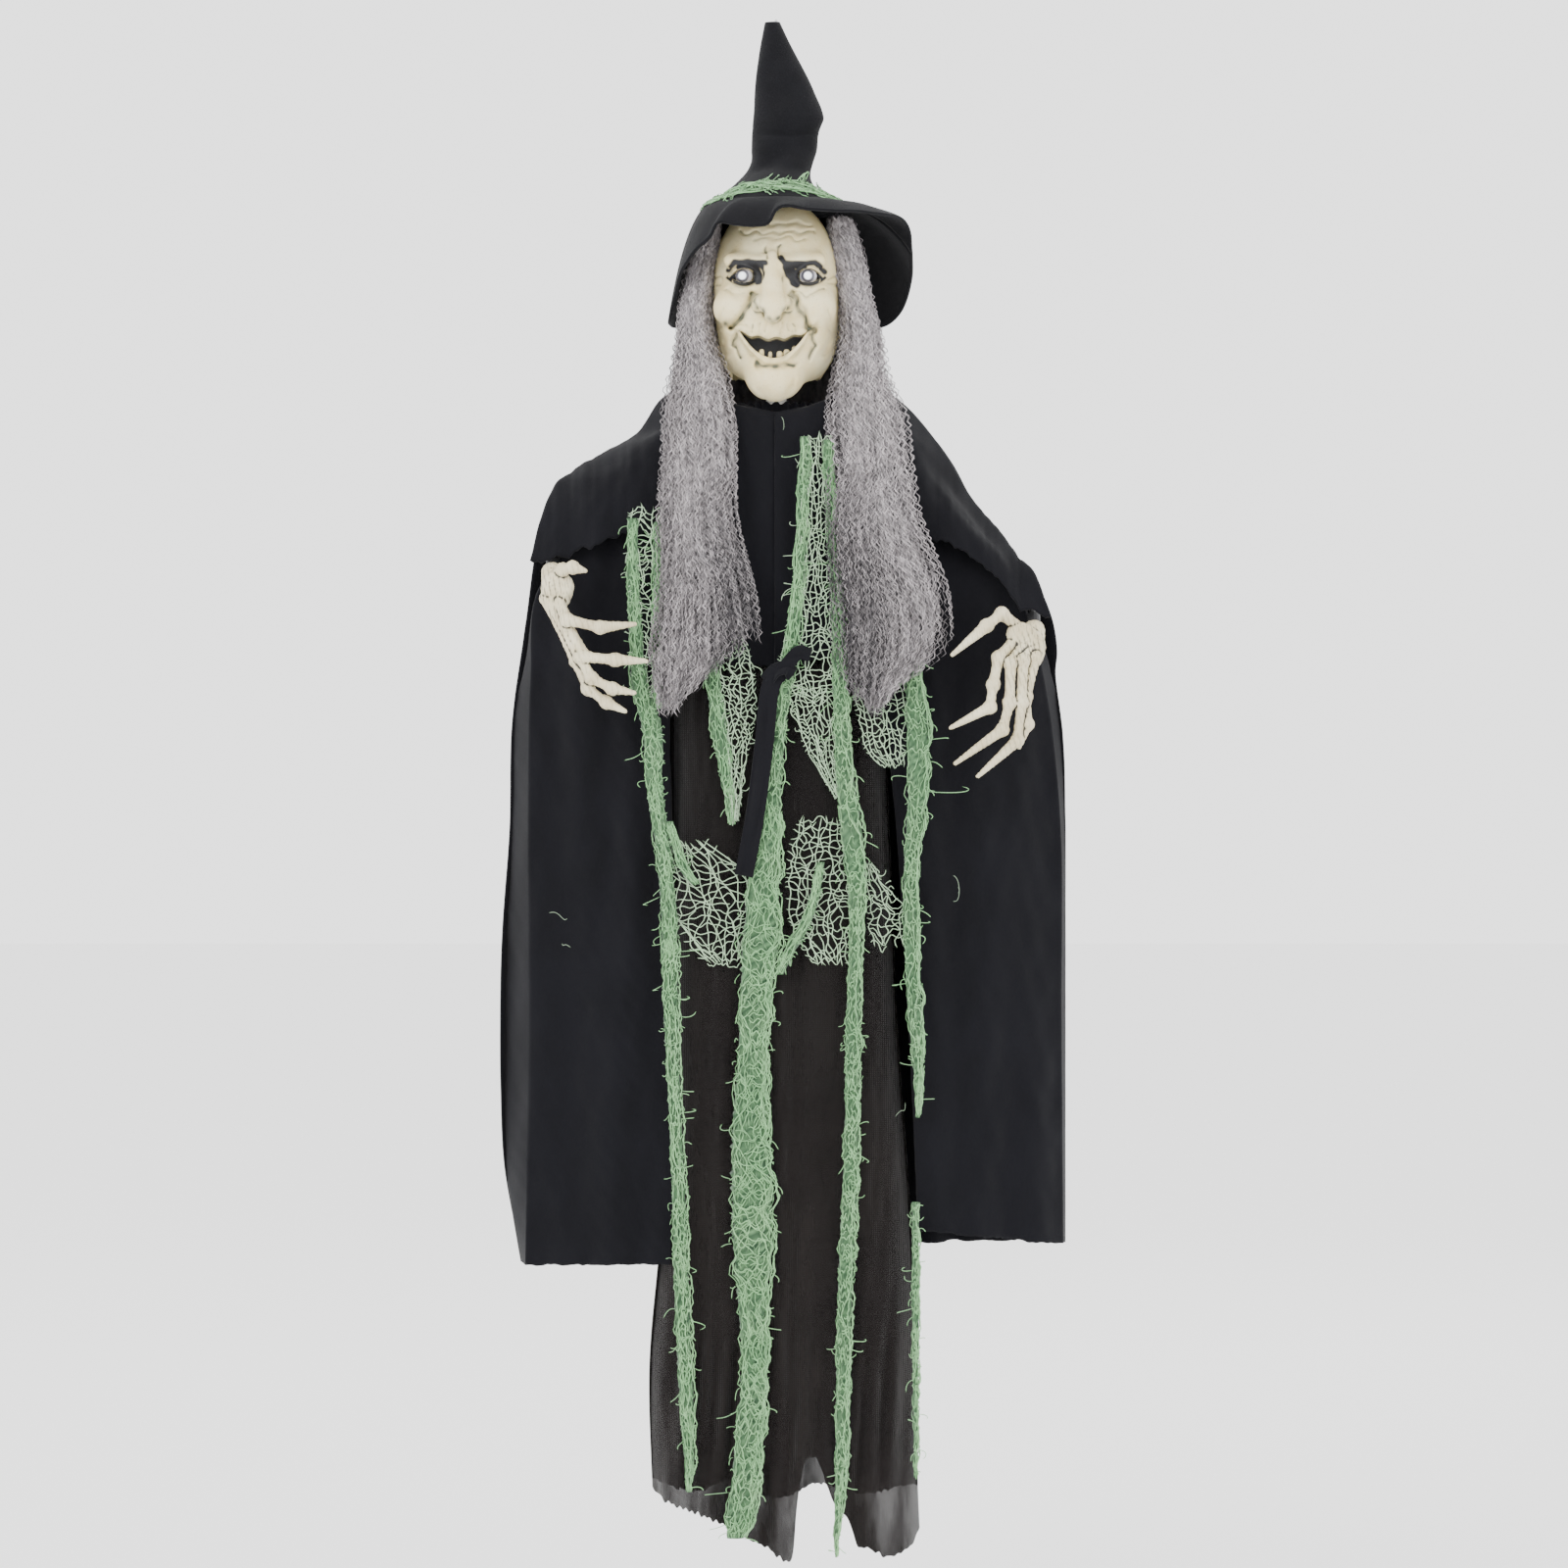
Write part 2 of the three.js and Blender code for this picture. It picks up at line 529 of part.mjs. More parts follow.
// ---- Arms: a pin through two ears of the box carries each rod, which ends in a wrist peg ----
const ARM = {
  left: [[-54, 0, -275.5], [-80, 0, -278], [-112, 0, -281], [-127, -2, -284], [-132, -14, -302]],
  right: [[54, 0, -276], [82, 0, -288], [116, 0, -307], [138, -2, -321], [149, -14, -338]],
};
function turnedFrom(axis, direction) {
  return new THREE.Quaternion().setFromUnitVectors(new THREE.Vector3(...axis), direction);
}
const pegAlong = (geometry) => geometry.applyQuaternion(turnedFrom([0, 0, 1], WRIST_DIRECTION));

for (const [side, name] of [[-1, "left"], [1, "right"]]) {
  const x = side * SHOULDER.x;
  const pin = bolt(SHOULDER.pin, -8.2, 8.2, x, SHOULDER.z, 12);
  add(`shoulder_pin_${name}`, joined(pin, bolt(2.8, -9, -7.3, x, SHOULDER.z, 12)), M.steel);
  const beforeWrist = new THREE.Vector3(...WRIST[name]).addScaledVector(WRIST_DIRECTION, -13).toArray();
  const rod = joined(
    bar([...ARM[name], beforeWrist], ARM_RADIUS, 8, 20),
    bolt(4.6, -4, 4, x, SHOULDER.z, 16),
    pegAlong(post(PEG_RADIUS, -14, 7, 0, 0, 14)).translate(...WRIST[name]),
  );
  add(`arm_rod_${name}`, less(rod, bolt(SHOULDER.pin + GAP, -9, 9, x, SHOULDER.z, 12)), M.blackPlastic);
}

// ---- Hands: bone-like castings, each digit a chain of joints measured from the wrist ----
const DIGITS = {
  left: [
    [[2, -6, 0], [7, -14, 3.5], [13, -22, 4.5], [20.6, -27, 2.3]], // thumb
    [[3, -10, -12], [9.6, -20, -26], [29.3, -27, -30.7], [49.6, -29, -28.8]],
    [[1, -10, -14], [20, -22, -47.8], [38, -27, -49.6], [56.2, -29, -50.4]],
    [[-1, -9, -14], [17.5, -20, -48], [24, -24, -60.2], [36.3, -27, -66.4], [49.2, -28, -69]],
    [[-3, -7, -13], [15, -16, -50], [22, -20, -66.5], [32.8, -22, -74.4], [43.8, -23, -79.7]],
  ],
  right: [
    [[-4, -7, 0], [-19.8, -13, 11.7], [-28.7, -19, 4.6], [-49, -24, -12.6]],
    [[-12, -10, -4], [-21.6, -16, -14], [-25, -20, -30], [-27, -23, -43.2], [-49.9, -26, -55.2]],
    [[-8, -11, -8], [-14.6, -17, -17.5], [-15.4, -21, -40.6], [-19.8, -25, -56.5], [-47.3, -28, -76]],
    [[-3, -10, -8], [-7.4, -16, -15.7], [-8.3, -19, -40.6], [-11, -23, -62.7], [-34, -26, -83.5]],
    [[2, -7, -8], [0, -12, -14], [-5.7, -15, -37], [-4.8, -18, -53], [-10, -20, -66.6]],
  ],
};

function bone(from, to, radius) {
  const a = new THREE.Vector3(...from);
  const b = new THREE.Vector3(...to);
  const geometry = new THREE.CylinderGeometry(radius, radius, a.distanceTo(b) + radius, 6);
  geometry.applyQuaternion(turnedFrom([0, 1, 0], b.clone().sub(a).normalize()));
  return geometry.translate(...a.add(b).multiplyScalar(0.5).toArray());
}

for (const name of ["left", "right"]) {
  const bones = [];
  for (const digit of DIGITS[name]) {
    digit.slice(1).forEach((point, i) => bones.push(bone(digit[i], point, 3.1 - 0.35 * i)));
  }
  const side = name === "left" ? 1 : -1;
  const palm = ellipsoid(9, 6, 12, side * 3, -9, -9, 12, 8);
  const wrist = pegAlong(post(6.6, -3, 9, 0, 0, 14));
  const socket = pegAlong(post(PEG_RADIUS + GAP, -14, 7.6, 0, 0, 14));
  add(`hand_${name}`, less(joined(palm, wrist, ...bones), socket), M.bone).position.set(...WRIST[name]);
}

// ---- Cloth ----
const CAPE_LEFT = [
  [-57, -226], [-86, -252], [-129, -274], [-138, -293], [-141, -333], [-151, -400],
  [-160, -530], [-160, -657], [-147, -740], [-63, -737], [-62, -300], [-34, -262], [-34, -240],
];
const CAPE_RIGHT = [
  [72, -226], [98, -256], [122, -291], [151, -320], [167, -360], [171, -400], [172, -727], [88, -718],
  [80, -500], [62, -300], [34, -262], [34, -240],
];
const CAPE_BACK = [
  [-50, -232], [50, -232], [100, -258], [151, -320], [171, -400], [172, -727], [0, -733], [-147, -740],
  [-160, -657], [-160, -530], [-141, -333], [-129, -276], [-86, -252],
];
const CAPELET = [
  [-58, -260], [-108, -272], [-136, -316], [-80, -306], [-40, -296], [0, -300], [40, -292], [84, -300],
  [140, -318], [100, -272], [62, -260], [20, -266], [-20, -266],
];
const DRESS_FRONT = [
  [-58, -304], [-60, -600], [-72, -873], [-30, -880], [9, -912], [21, -855], [34, -855], [42, -888], [64, -911],
  [87, -894], [84, -600], [62, -304],
];
const DRESS_BACK = [[-56, -376], [-70, -860], [-20, -884], [30, -868], [84, -880], [80, -600], [60, -376]];
const DRESS_BACK_Y = 20;

function wristHole(name) {
  const [x, , z] = WRIST[name];
  return bolt(9, LAYER.cape - 20, LAYER.cape + 20, x, z + 13, 14);
}
add("neck_collar", turned([[13, -257], [24, -257], [24, -229], [13, -229]], 24), M.blackCloth);
add("cape_left", less(slab(CAPE_LEFT, LAYER.cape, LAYER.cape + CLOTH), wristHole("left")), M.blackCloth);
add("cape_right", less(slab(CAPE_RIGHT, LAYER.cape, LAYER.cape + CLOTH), wristHole("right")), M.blackCloth);
const padSlit = rectangle(-PAD.halfWidth - 0.8, PAD.halfWidth + 0.8, PAD.bottom - 0.8, PAD.top + 0.8);
const CAPE_BACK_Y = BOX.back + 2 * GAP;
add("cape_back", slab(CAPE_BACK, CAPE_BACK_Y, CAPE_BACK_Y + CLOTH, [padSlit]), M.blackCloth);
add("capelet_front", slab(CAPELET, LAYER.capelet, LAYER.capelet + CLOTH), M.blackCloth);
add("dress_front", slab(DRESS_FRONT, LAYER.dress, LAYER.dress + CLOTH), M.sheerCloth);
add("dress_back", slab(DRESS_BACK, DRESS_BACK_Y, DRESS_BACK_Y + CLOTH), M.sheerCloth);

// Torn net: each piece is a bunched strip or two, with open net hanging between them.
const netStrip = (line) => strip(line, LAYER.net, LAYER.net + CLOTH);
const netSwag = (outline) => slab(outline, LAYER.net, LAYER.net + CLOTH);
const NETS = {
  net_left: [
    netStrip([
      [-76, -302, 26], [-72, -390, 24], [-66, -480, 18], [-58, -600, 14], [-52, -700, 15], [-47, -868, 9],
    ]),
    netSwag([[-60, -470], [-18, -470], [-22, -530], [-24, -590], [-40, -575], [-60, -560]]),
  ],
  net_centre: [
    netStrip([[20, -262, 20], [14, -330, 30], [6, -400, 26], [0, -470, 22], [-3, -559, 32], [-12, -600, 22]]),
    netStrip([[-11, -598, 22], [-12, -700, 34], [-10, -800, 20], [-22, -893, 24]]),
  ],
  net_right: [
    netStrip([[46, -276, 12], [41, -380, 20], [50, -480, 24], [44, -600, 15], [42, -700, 14], [40, -906, 9]]),
    netSwag([[55, -500], [76, -500], [78, -560], [60, -572], [48, -560]]),
    netStrip([[84, -400, 20], [82, -500, 18], [84, -560, 14], [84, -645, 8]]),
  ],
};
for (const [name, pieces] of Object.entries(NETS)) add(name, joined(...pieces), M.greenNet);

// The sash is tied in a knot on the chest and hangs by one long end.
add(
  "sash",
  joined(
    ellipsoid(7, 4, 6, 1, LAYER.sash + 2, -384, 12, 8),
    strip([[0, -386, 12], [-6, -440, 12], [-14, -508, 15]], LAYER.sash, LAYER.sash + CLOTH),
    slab([[4, -380], [20, -378], [18, -386], [4, -387]], LAYER.sash, LAYER.sash + CLOTH),
  ),
  M.blackCloth,
);

export default witch;
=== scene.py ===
import json
import math

import bpy
import numpy as np
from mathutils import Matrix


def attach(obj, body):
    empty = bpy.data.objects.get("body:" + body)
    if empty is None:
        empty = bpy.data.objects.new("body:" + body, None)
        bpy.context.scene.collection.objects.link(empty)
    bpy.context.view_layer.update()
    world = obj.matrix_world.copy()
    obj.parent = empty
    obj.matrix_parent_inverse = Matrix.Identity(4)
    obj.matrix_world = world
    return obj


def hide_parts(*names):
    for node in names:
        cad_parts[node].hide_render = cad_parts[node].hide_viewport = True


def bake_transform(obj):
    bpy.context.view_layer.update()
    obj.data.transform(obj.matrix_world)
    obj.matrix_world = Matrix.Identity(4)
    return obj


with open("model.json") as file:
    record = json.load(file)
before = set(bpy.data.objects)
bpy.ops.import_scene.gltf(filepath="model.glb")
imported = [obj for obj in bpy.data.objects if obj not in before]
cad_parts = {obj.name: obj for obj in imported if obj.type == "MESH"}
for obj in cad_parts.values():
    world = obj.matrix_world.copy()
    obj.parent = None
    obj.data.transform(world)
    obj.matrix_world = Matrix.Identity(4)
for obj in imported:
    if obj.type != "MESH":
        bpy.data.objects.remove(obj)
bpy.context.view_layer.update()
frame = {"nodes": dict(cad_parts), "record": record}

MM = 0.001
HEAD_Z = -166.0  # height of the head's centre
TURN = 2 * np.pi

# ---------------------------------------------------------------- camera, lights, floor

VIEW_WIDTH = 925.6  # of the object's plane across the picture
VIEW_CENTRE = (4.6, -30.0, -454.1)
CAMERA_DISTANCE = 3000.0
SENSOR = 36.0
WORLD_STRENGTH = 2.4
LIGHTS = {  # place and size in metres, power in watts
    "key": ((-1.6, -2.4, 1.1), 1.6, 60),
    "fill": ((2.0, -2.2, 0.1), 2.0, 22),
    "rim": ((0.6, 2.4, 0.9), 1.4, 12),
}
FLOOR_HALF, FLOOR_Z = 15.0, -1.02  # metres
FLOOR_GREY = 0.92


def make_camera():
    data = bpy.data.cameras.new("camera")
    data.sensor_width = SENSOR
    data.lens = SENSOR * CAMERA_DISTANCE / VIEW_WIDTH
    camera = bpy.data.objects.new("camera", data)
    x, y, z = VIEW_CENTRE
    camera.location = (x * MM, (y - CAMERA_DISTANCE) * MM, z * MM)
    camera.rotation_euler = (math.pi / 2, 0, 0)
    bpy.context.scene.collection.objects.link(camera)
    bpy.context.scene.camera = camera


def make_light(name, place, size, power):
    data = bpy.data.lights.new(name, "AREA")
    data.shape = "SQUARE"
    data.size = size
    data.energy = power
    light = bpy.data.objects.new(name, data)
    light.location = place
    aim = bpy.data.objects.new(name + "_aim", None)
    aim.location = (0, 0, VIEW_CENTRE[2] * MM)
    bpy.context.scene.collection.objects.link(light)
    bpy.context.scene.collection.objects.link(aim)
    track = light.constraints.new("TRACK_TO")
    track.target = aim
    track.track_axis = "TRACK_NEGATIVE_Z"
    track.up_axis = "UP_Y"


def make_stage():
    world = bpy.data.worlds.new("studio")
    world.use_nodes = True
    background = world.node_tree.nodes["Background"]
    background.inputs["Color"].default_value = (1, 1, 1, 1)
    background.inputs["Strength"].default_value = WORLD_STRENGTH
    bpy.context.scene.world = world
    for name, (place, size, power) in LIGHTS.items():
        make_light(name, place, size, power)
    half = FLOOR_HALF
    corners = [(x, y, FLOOR_Z) for x, y in ((-half, -half), (half, -half), (half, half), (-half, half))]
    mesh = bpy.data.meshes.new("floor")
    mesh.from_pydata(corners, [], [(0, 1, 2, 3)])
    floor = bpy.data.objects.new("floor", mesh)
    bpy.context.scene.collection.objects.link(floor)
    material, tree, shader = new_material("floor")
    feed(tree, shader, {"Base Color": (*grey(FLOOR_GREY), 1), "Roughness": 0.9})
    mesh.materials.append(material)


# ---------------------------------------------------------------- materials
# In the looks, colours are linear, noise scales are per metre and bump distances are metres.


def new_material(name):
    material = bpy.data.materials.new(name)
    material.use_nodes = True
    tree = material.node_tree
    return material, tree, tree.nodes["Principled BSDF"]


def feed(tree, node, inputs):
    """Links each input of a node to another node's output, or sets it to a number or colour."""
    for key, value in inputs.items():
        if isinstance(value, bpy.types.NodeSocket):
            tree.links.new(value, node.inputs[key])
        else:
            node.inputs[key].default_value = value


def add_node(tree, kind, settings=None, inputs=None):
    node = tree.nodes.new(kind)
    for key, value in (settings or {}).items():
        setattr(node, key, value)
    feed(tree, node, inputs or {})
    return node


def object_point(tree, scale=(1, 1, 1)):
    place = add_node(tree, "ShaderNodeTexCoord")
    inputs = {"Vector": place.outputs["Object"], "Scale": scale}
    return add_node(tree, "ShaderNodeMapping", inputs=inputs).outputs[0]


def noise(tree, scale, detail=3.0, roughness=0.55, point=None):
    inputs = {"Scale": scale, "Detail": detail, "Roughness": roughness}
    inputs["Vector"] = point or object_point(tree)
    return add_node(tree, "ShaderNodeTexNoise", inputs=inputs).outputs["Fac"]


def grey(v):
    return (v, v, v)


def ramp(tree, value, stops):
    """A colour read from [place, colour] stops."""
    node = add_node(tree, "ShaderNodeValToRGB", inputs={"Fac": value})
    elements = node.color_ramp.elements
    while len(elements) < len(stops):
        elements.new(0.5)
    for element, (place, color) in zip(elements, stops):
        element.position = place
        element.color = (*color, 1)
    return node.outputs["Color"]


def grey_ramp(tree, value, low, high):
    """A grey between two stops of [place, brightness]."""
    return ramp(tree, value, [(place, grey(v)) for place, v in (low, high)])


def mixed(tree, share, a, b, how="MIX"):
    """Two colours mixed. The colour inputs of the node are its numbers 6 and 7."""
    node = add_node(tree, "ShaderNodeMix", {"data_type": "RGBA", "blend_type": how}, {0: share})
    for index, color in ((6, a), (7, b)):
        feed(tree, node, {index: color if isinstance(color, bpy.types.NodeSocket) else (*color, 1)})
    return node.outputs[2]


def math_node(tree, how, a, b=0.0):
    return add_node(tree, "ShaderNodeMath", {"operation": how}, {0: a, 1: b}).outputs[0]


def added(tree, a, b, share):
    return math_node(tree, "ADD", a, math_node(tree, "MULTIPLY", b, share))


def attribute(tree, name):
    return add_node(tree, "ShaderNodeAttribute", {"attribute_name": name}).outputs["Fac"]


def bumped(tree, shader, height, distance):
    bump = add_node(tree, "ShaderNodeBump", inputs={"Height": height, "Distance": distance, "Strength": 1.0})
    tree.links.new(bump.outputs[0], shader.inputs["Normal"])


def weave(tree, pitch):
    """The height of a plain weave, threads along X and Z, pitch in metres."""
    bands_per_scale = 3.18
    scale = 1 / (pitch * bands_per_scale)
    inputs = {"Vector": object_point(tree), "Scale": scale, "Distortion": 1.2, "Detail": 1.0}
    bands = []
    for direction in ("X", "Z"):
        settings = {"wave_type": "BANDS", "bands_direction": direction}
        bands.append(add_node(tree, "ShaderNodeTexWave", settings, inputs).outputs["Fac"])
    return math_node(tree, "MULTIPLY", *bands)


def cloth_look(name, dark, light, pitch=0.0006, sheen=0.05, bump=0.00012, sheer=False):
    """Woven cloth: uneven dye, a weave and a fine nap; sheer cloth also gets painted light shining through it
    lower down.
    """
    material, tree, shader = new_material(name)
    blotches = noise(tree, 22, 4)
    fuzz = noise(tree, 900, 2)
    color = mixed(tree, blotches, dark, light)
    color = mixed(tree, 0.35, color, grey_ramp(tree, fuzz, (0.3, 0.35), (0.75, 1.0)), "MULTIPLY")
    if sheer:
        color = make_sheer(tree, shader, color, dark)
    feed(tree, shader, {
        "Base Color": color, "Roughness": grey_ramp(tree, fuzz, (0.2, 0.80),
        (0.8, 0.98)), "Sheen Weight": sheen,
        "Sheen Roughness": 0.5, "Specular IOR Level": 0.12,
    })
    bumped(tree, shader, added(tree, weave(tree, pitch), fuzz, 0.6), bump)
    return material


def make_sheer(tree, shader, color, dark):
    """Lets light through in streaks, and paints the cloth lighter towards the hem, as light shining through
    it, keeping it dark higher up, where the lining is behind it.
    """
    lining_z, hem_z = -0.42, -0.75  # metres
    height = add_node(tree, "ShaderNodeSeparateXYZ", inputs={"Vector": object_point(tree)}).outputs["Z"]
    inputs = {"Value": height, "From Min": lining_z, "From Max": hem_z}
    lit = add_node(tree, "ShaderNodeMapRange", inputs=inputs)
    streaks = noise(tree, 26, 5, 0.65, object_point(tree, (1, 1, 0.28)))
    feed(tree, shader, {"Alpha": grey_ramp(tree, streaks, (0.38, 0.74), (0.58, 1.0))})
    # painted light: from dark at the lining's height to the lit colour at the hem
    return mixed(tree, lit.outputs[0], dark, color)


def felt_look():
    material, tree, shader = new_material("felt")
    fibres = noise(tree, 1500, 3, 0.7)
    clumps = noise(tree, 60, 4)
    color = mixed(tree, clumps, (0.0020, 0.0020, 0.0026), (0.0065, 0.0065, 0.0085))
    color = mixed(tree, grey_ramp(tree, fibres, (0.62, 0), (0.8, 0.5)), color, (0.05, 0.05, 0.055))
    feed(tree, shader, {
        "Base Color": color, "Roughness": grey_ramp(tree, fibres, (0.3, 0.85),
        (0.7, 1.0)), "Sheen Weight": 0.05,
        "Specular IOR Level": 0.12,
    })
    bumped(tree, shader, added(tree, fibres, clumps, 1.5), 0.0004)
    return material


def net_look():
    """Dyed gauze: the attribute pale lightens the open stretches, shade darkens what lies deep."""
    material, tree, shader = new_material("green_net")
    patches = noise(tree, 45, 4)
    fibres = noise(tree, 2500, 2)
    color = mixed(tree, patches, (0.16, 0.43, 0.16), (0.36, 0.64, 0.31))
    color = mixed(tree, attribute(tree, "pale"), color, (0.50, 0.62, 0.46))
    color = mixed(tree, attribute(tree, "shade"), color, (0.012, 0.045, 0.018))
    color = mixed(tree, 0.5, color, grey_ramp(tree, fibres, (0.3, 0.55), (0.7, 1.0)), "MULTIPLY")
    feed(tree, shader, {
        "Base Color": color, "Roughness": grey_ramp(tree, fibres, (0.3, 0.85),
        (0.7, 1.0)), "Sheen Weight": 0.2,
    })
    bumped(tree, shader, fibres, 0.0002)
    return material


def hair_look():
    """Grey hair, darker by the attribute shade, with short light and dark bands painted in as the highlights
    and shade of the crimp.
    """
    material, tree, shader = new_material("hair")
    bands = noise(tree, 230, 4, 0.7, object_point(tree, (1, 1, 0.6)))
    color = mixed(tree, attribute(tree, "shade"), (0.60, 0.55, 0.56), (0.035, 0.033, 0.037))
    # painted highlights and shade of the crimp: short darker bands across the strands
    color = mixed(tree, 0.75, color, grey_ramp(tree, bands, (0.36, 0.30), (0.62, 1.0)), "MULTIPLY")
    feed(tree, shader, {
        "Base Color": color, "Roughness": grey_ramp(tree, bands, (0.3, 0.42), (0.7, 0.62)),
        "Specular IOR Level": 0.35,
    })
    bumped(tree, shader, noise(tree, 1800, 2), 0.0001)
    return material


def bone_look(name, pale, warm, wash):
    """Painted vinyl: two cream tones, a dark wash rubbed into the folds, black paint where it is masked."""
    material, tree, shader = new_material(name)
    patches = noise(tree, 55, 4, 0.6)
    specks = noise(tree, 700, 3, 0.7)
    color = mixed(tree, grey_ramp(tree, patches, (0.35, 0), (0.65, 1)), pale, warm)
    color = mixed(tree, grey_ramp(tree, specks, (0.60, 0), (0.75, 0.35)), color, wash)
    color = mixed(tree, attribute(tree, "wash"), color, wash)
    color = mixed(tree, attribute(tree, "black"), color, (0.006, 0.006, 0.008))
    feed(tree, shader, {
        "Base Color": color, "Roughness": grey_ramp(tree, specks, (0.3, 0.45), (0.7, 0.62)),
        "Specular IOR Level": 0.4, "Subsurface Weight": 0.05, "Subsurface Radius": (0.004, 0.002, 0.001),
    })
    bumped(tree, shader, added(tree, specks, patches, 0.8), 0.00025)
    return material


def plastic_look(name, color, rough, metal=0.0, grain=0.00006):
    """Moulded plastic, or with metal a worked metal, a little lighter and duller where it was handled."""
    material, tree, shader = new_material(name)
    fine = noise(tree, 1400, 2)
    handled = noise(tree, 60, 4)
    light = tuple(min(1.0, 1.25 * c + 0.004) for c in color)
    feed(tree, shader, {
        "Base Color": mixed(tree, handled, color, light), "Metallic": metal,
        "Roughness": grey_ramp(tree, handled, (0.3, rough - 0.08), (0.75, rough + 0.1)),
    })
    bumped(tree, shader, fine, grain)
    return material


EYE_RINGS = [  # share of the lens's radius, colour: a bright middle, a dark ring, a milky rim
    (0.0, (0.93, 0.94, 0.96)), (0.40, (0.90, 0.91, 0.95)), (0.5, (0.10, 0.10, 0.13)),
    (0.68, (0.05, 0.05, 0.07)), (0.80, (0.42, 0.41, 0.47)), (1.0, (0.62, 0.61, 0.66)),
]


def eye_look():
    """A clear lens over the light."""
    material, tree, shader = new_material("eye")
    rings = attribute(tree, "ring")
    streaks = noise(tree, 600, 3)
    color = ramp(tree, rings, EYE_RINGS)
    color = mixed(tree, 0.5, color, grey_ramp(tree, streaks, (0.3, 0.6), (0.7, 1.0)), "MULTIPLY")
    feed(tree, shader, {
        "Base Color": color, "Emission Color": color, "Roughness": 0.12, "Coat Weight": 0.6,
        "Emission Strength": grey_ramp(tree, rings, (0.30, 0.9), (0.45, 0.0)),
    })
    return material


LOOKS = {}


def make_looks():
    LOOKS.update(
        bone=bone_look("bone", (0.74, 0.66, 0.41), (0.68, 0.56, 0.29), (0.075, 0.08, 0.05)),
        hand_bone=bone_look("hand_bone", (0.66, 0.60, 0.42), (0.50, 0.43, 0.27), (0.035, 0.032, 0.02)),
        eye=eye_look(),
        hair=hair_look(),
        black_cloth=cloth_look("black_cloth", (0.0022, 0.0022, 0.0034), (0.0060, 0.0060, 0.0088)),
        sheer_cloth=cloth_look(
            "sheer_cloth", (0.0045, 0.0036, 0.0034), (0.015, 0.012, 0.011),
            pitch=0.0011, bump=0.0003, sheen=0.08, sheer=True,
        ),
        green_net=net_look(),
        felt=felt_look(),
        black_plastic=plastic_look("black_plastic", (0.012, 0.012, 0.013), 0.5, grain=0.0001),
        white_plastic=plastic_look("white_plastic", (0.78, 0.76, 0.70), 0.4),
        steel=plastic_look("steel", (0.52, 0.52, 0.54), 0.3, 1.0),
        board=plastic_look("board", (0.02, 0.12, 0.045), 0.45),
        led=plastic_look("led", (0.86, 0.88, 0.95), 0.15, grain=0.00001),
        battery=plastic_look("battery", (0.03, 0.10, 0.28), 0.32),
        red=plastic_look("red", (0.42, 0.02, 0.02), 0.35),
    )


def dress_cad_nodes():
    """Puts a look on each CAD node by its material slot."""
    slots = {part["node"]: part["material_slot"] for part in frame["record"]["subparts"]}
    for name, piece in frame["nodes"].items():
        piece.data.materials.clear()
        piece.data.materials.append(LOOKS[slots[name]])


# ---------------------------------------------------------------- mesh helpers


def make_mesh(name, points, faces, look, body=None, attributes=None):
    """A smooth mesh piece from points in millimetres and faces that all have as many corners."""
    points = np.asarray(points, np.float32).reshape(-1, 3)
    faces = np.asarray(faces, np.int32)
    mesh = bpy.data.meshes.new(name)
    mesh.vertices.add(len(points))
    mesh.vertices.foreach_set("co", (points * MM).ravel())
    mesh.loops.add(faces.size)
    mesh.loops.foreach_set("vertex_index", faces.ravel())
    mesh.polygons.add(len(faces))
    mesh.polygons.foreach_set("loop_start", np.arange(len(faces), dtype=np.int32) * faces.shape[1])
    mesh.update(calc_edges=True)
    mesh.polygons.foreach_set("use_smooth", np.full(len(faces), True))
    for key, values in (attributes or {}).items():
        values = np.asarray(values, np.float32).ravel()
        mesh.attributes.new(key, "FLOAT", "POINT").data.foreach_set("value", values)
    mesh.materials.append(LOOKS[look])
    piece = bpy.data.objects.new(name, mesh)
    bpy.context.scene.collection.objects.link(piece)
    if body:
        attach(piece, body)
    return piece


def unit(v):
    return v / np.maximum(np.linalg.norm(v, axis=-1, keepdims=True), 1e-9)


def stacked(*values):
    """One array of points, or of faces, from arrays of x, y, z or of corners."""
    return np.stack(np.broadcast_arrays(*values), -1)


def ring_faces(rows, turns):
    """Faces between rings of points, each ring closing on itself."""
    index = np.arange(rows * turns).reshape(rows, turns)
    after = np.roll(index, -1, 1)
    return stacked(index[:-1], after[:-1], after[1:], index[1:]).reshape(-1, 4)


def tubes(paths, radius, sides=3):
    """Closed round threads. paths is (threads, points, 3)."""
    paths = np.asarray(paths, np.float64)
    count, steps, _ = paths.shape
    radius = np.full((count, steps), float(radius))
    radius[:, [0, -1]] *= 0.05
    along = unit(np.gradient(paths, axis=1))
    across = unit(np.cross(along, np.array([0.21, 0.93, 0.30])))
    other = np.cross(along, across)
    angles = TURN * np.arange(sides) / sides
    ring = across[:, :, None] * np.cos(angles)[:, None] + other[:, :, None] * np.sin(angles)[:, None]
    points = paths[:, :, None] + ring * radius[:, :, None, None]
    index = np.arange(count * steps * sides).reshape(count, steps, sides)
    a, b = index[:, :-1], index[:, 1:]
    faces = stacked(a, np.roll(a, -1, 2), np.roll(b, -1, 2), b).reshape(-1, 4)
    return points.reshape(-1, 3), faces


def thread_shades(shade, shape, sides=3):
    """For every point of tubes() its thread's value, given for each of the shape (threads, steps)."""
    return np.repeat(np.broadcast_to(shade, shape).ravel(), sides)


def joined(parts):
    """One (points, faces) from several with faces of the same size."""
    points, faces, offset = [], [], 0
    for p, f in parts:
        points.append(p)
        faces.append(f + offset)
        offset += len(p)
    return np.concatenate(points), np.concatenate(faces)


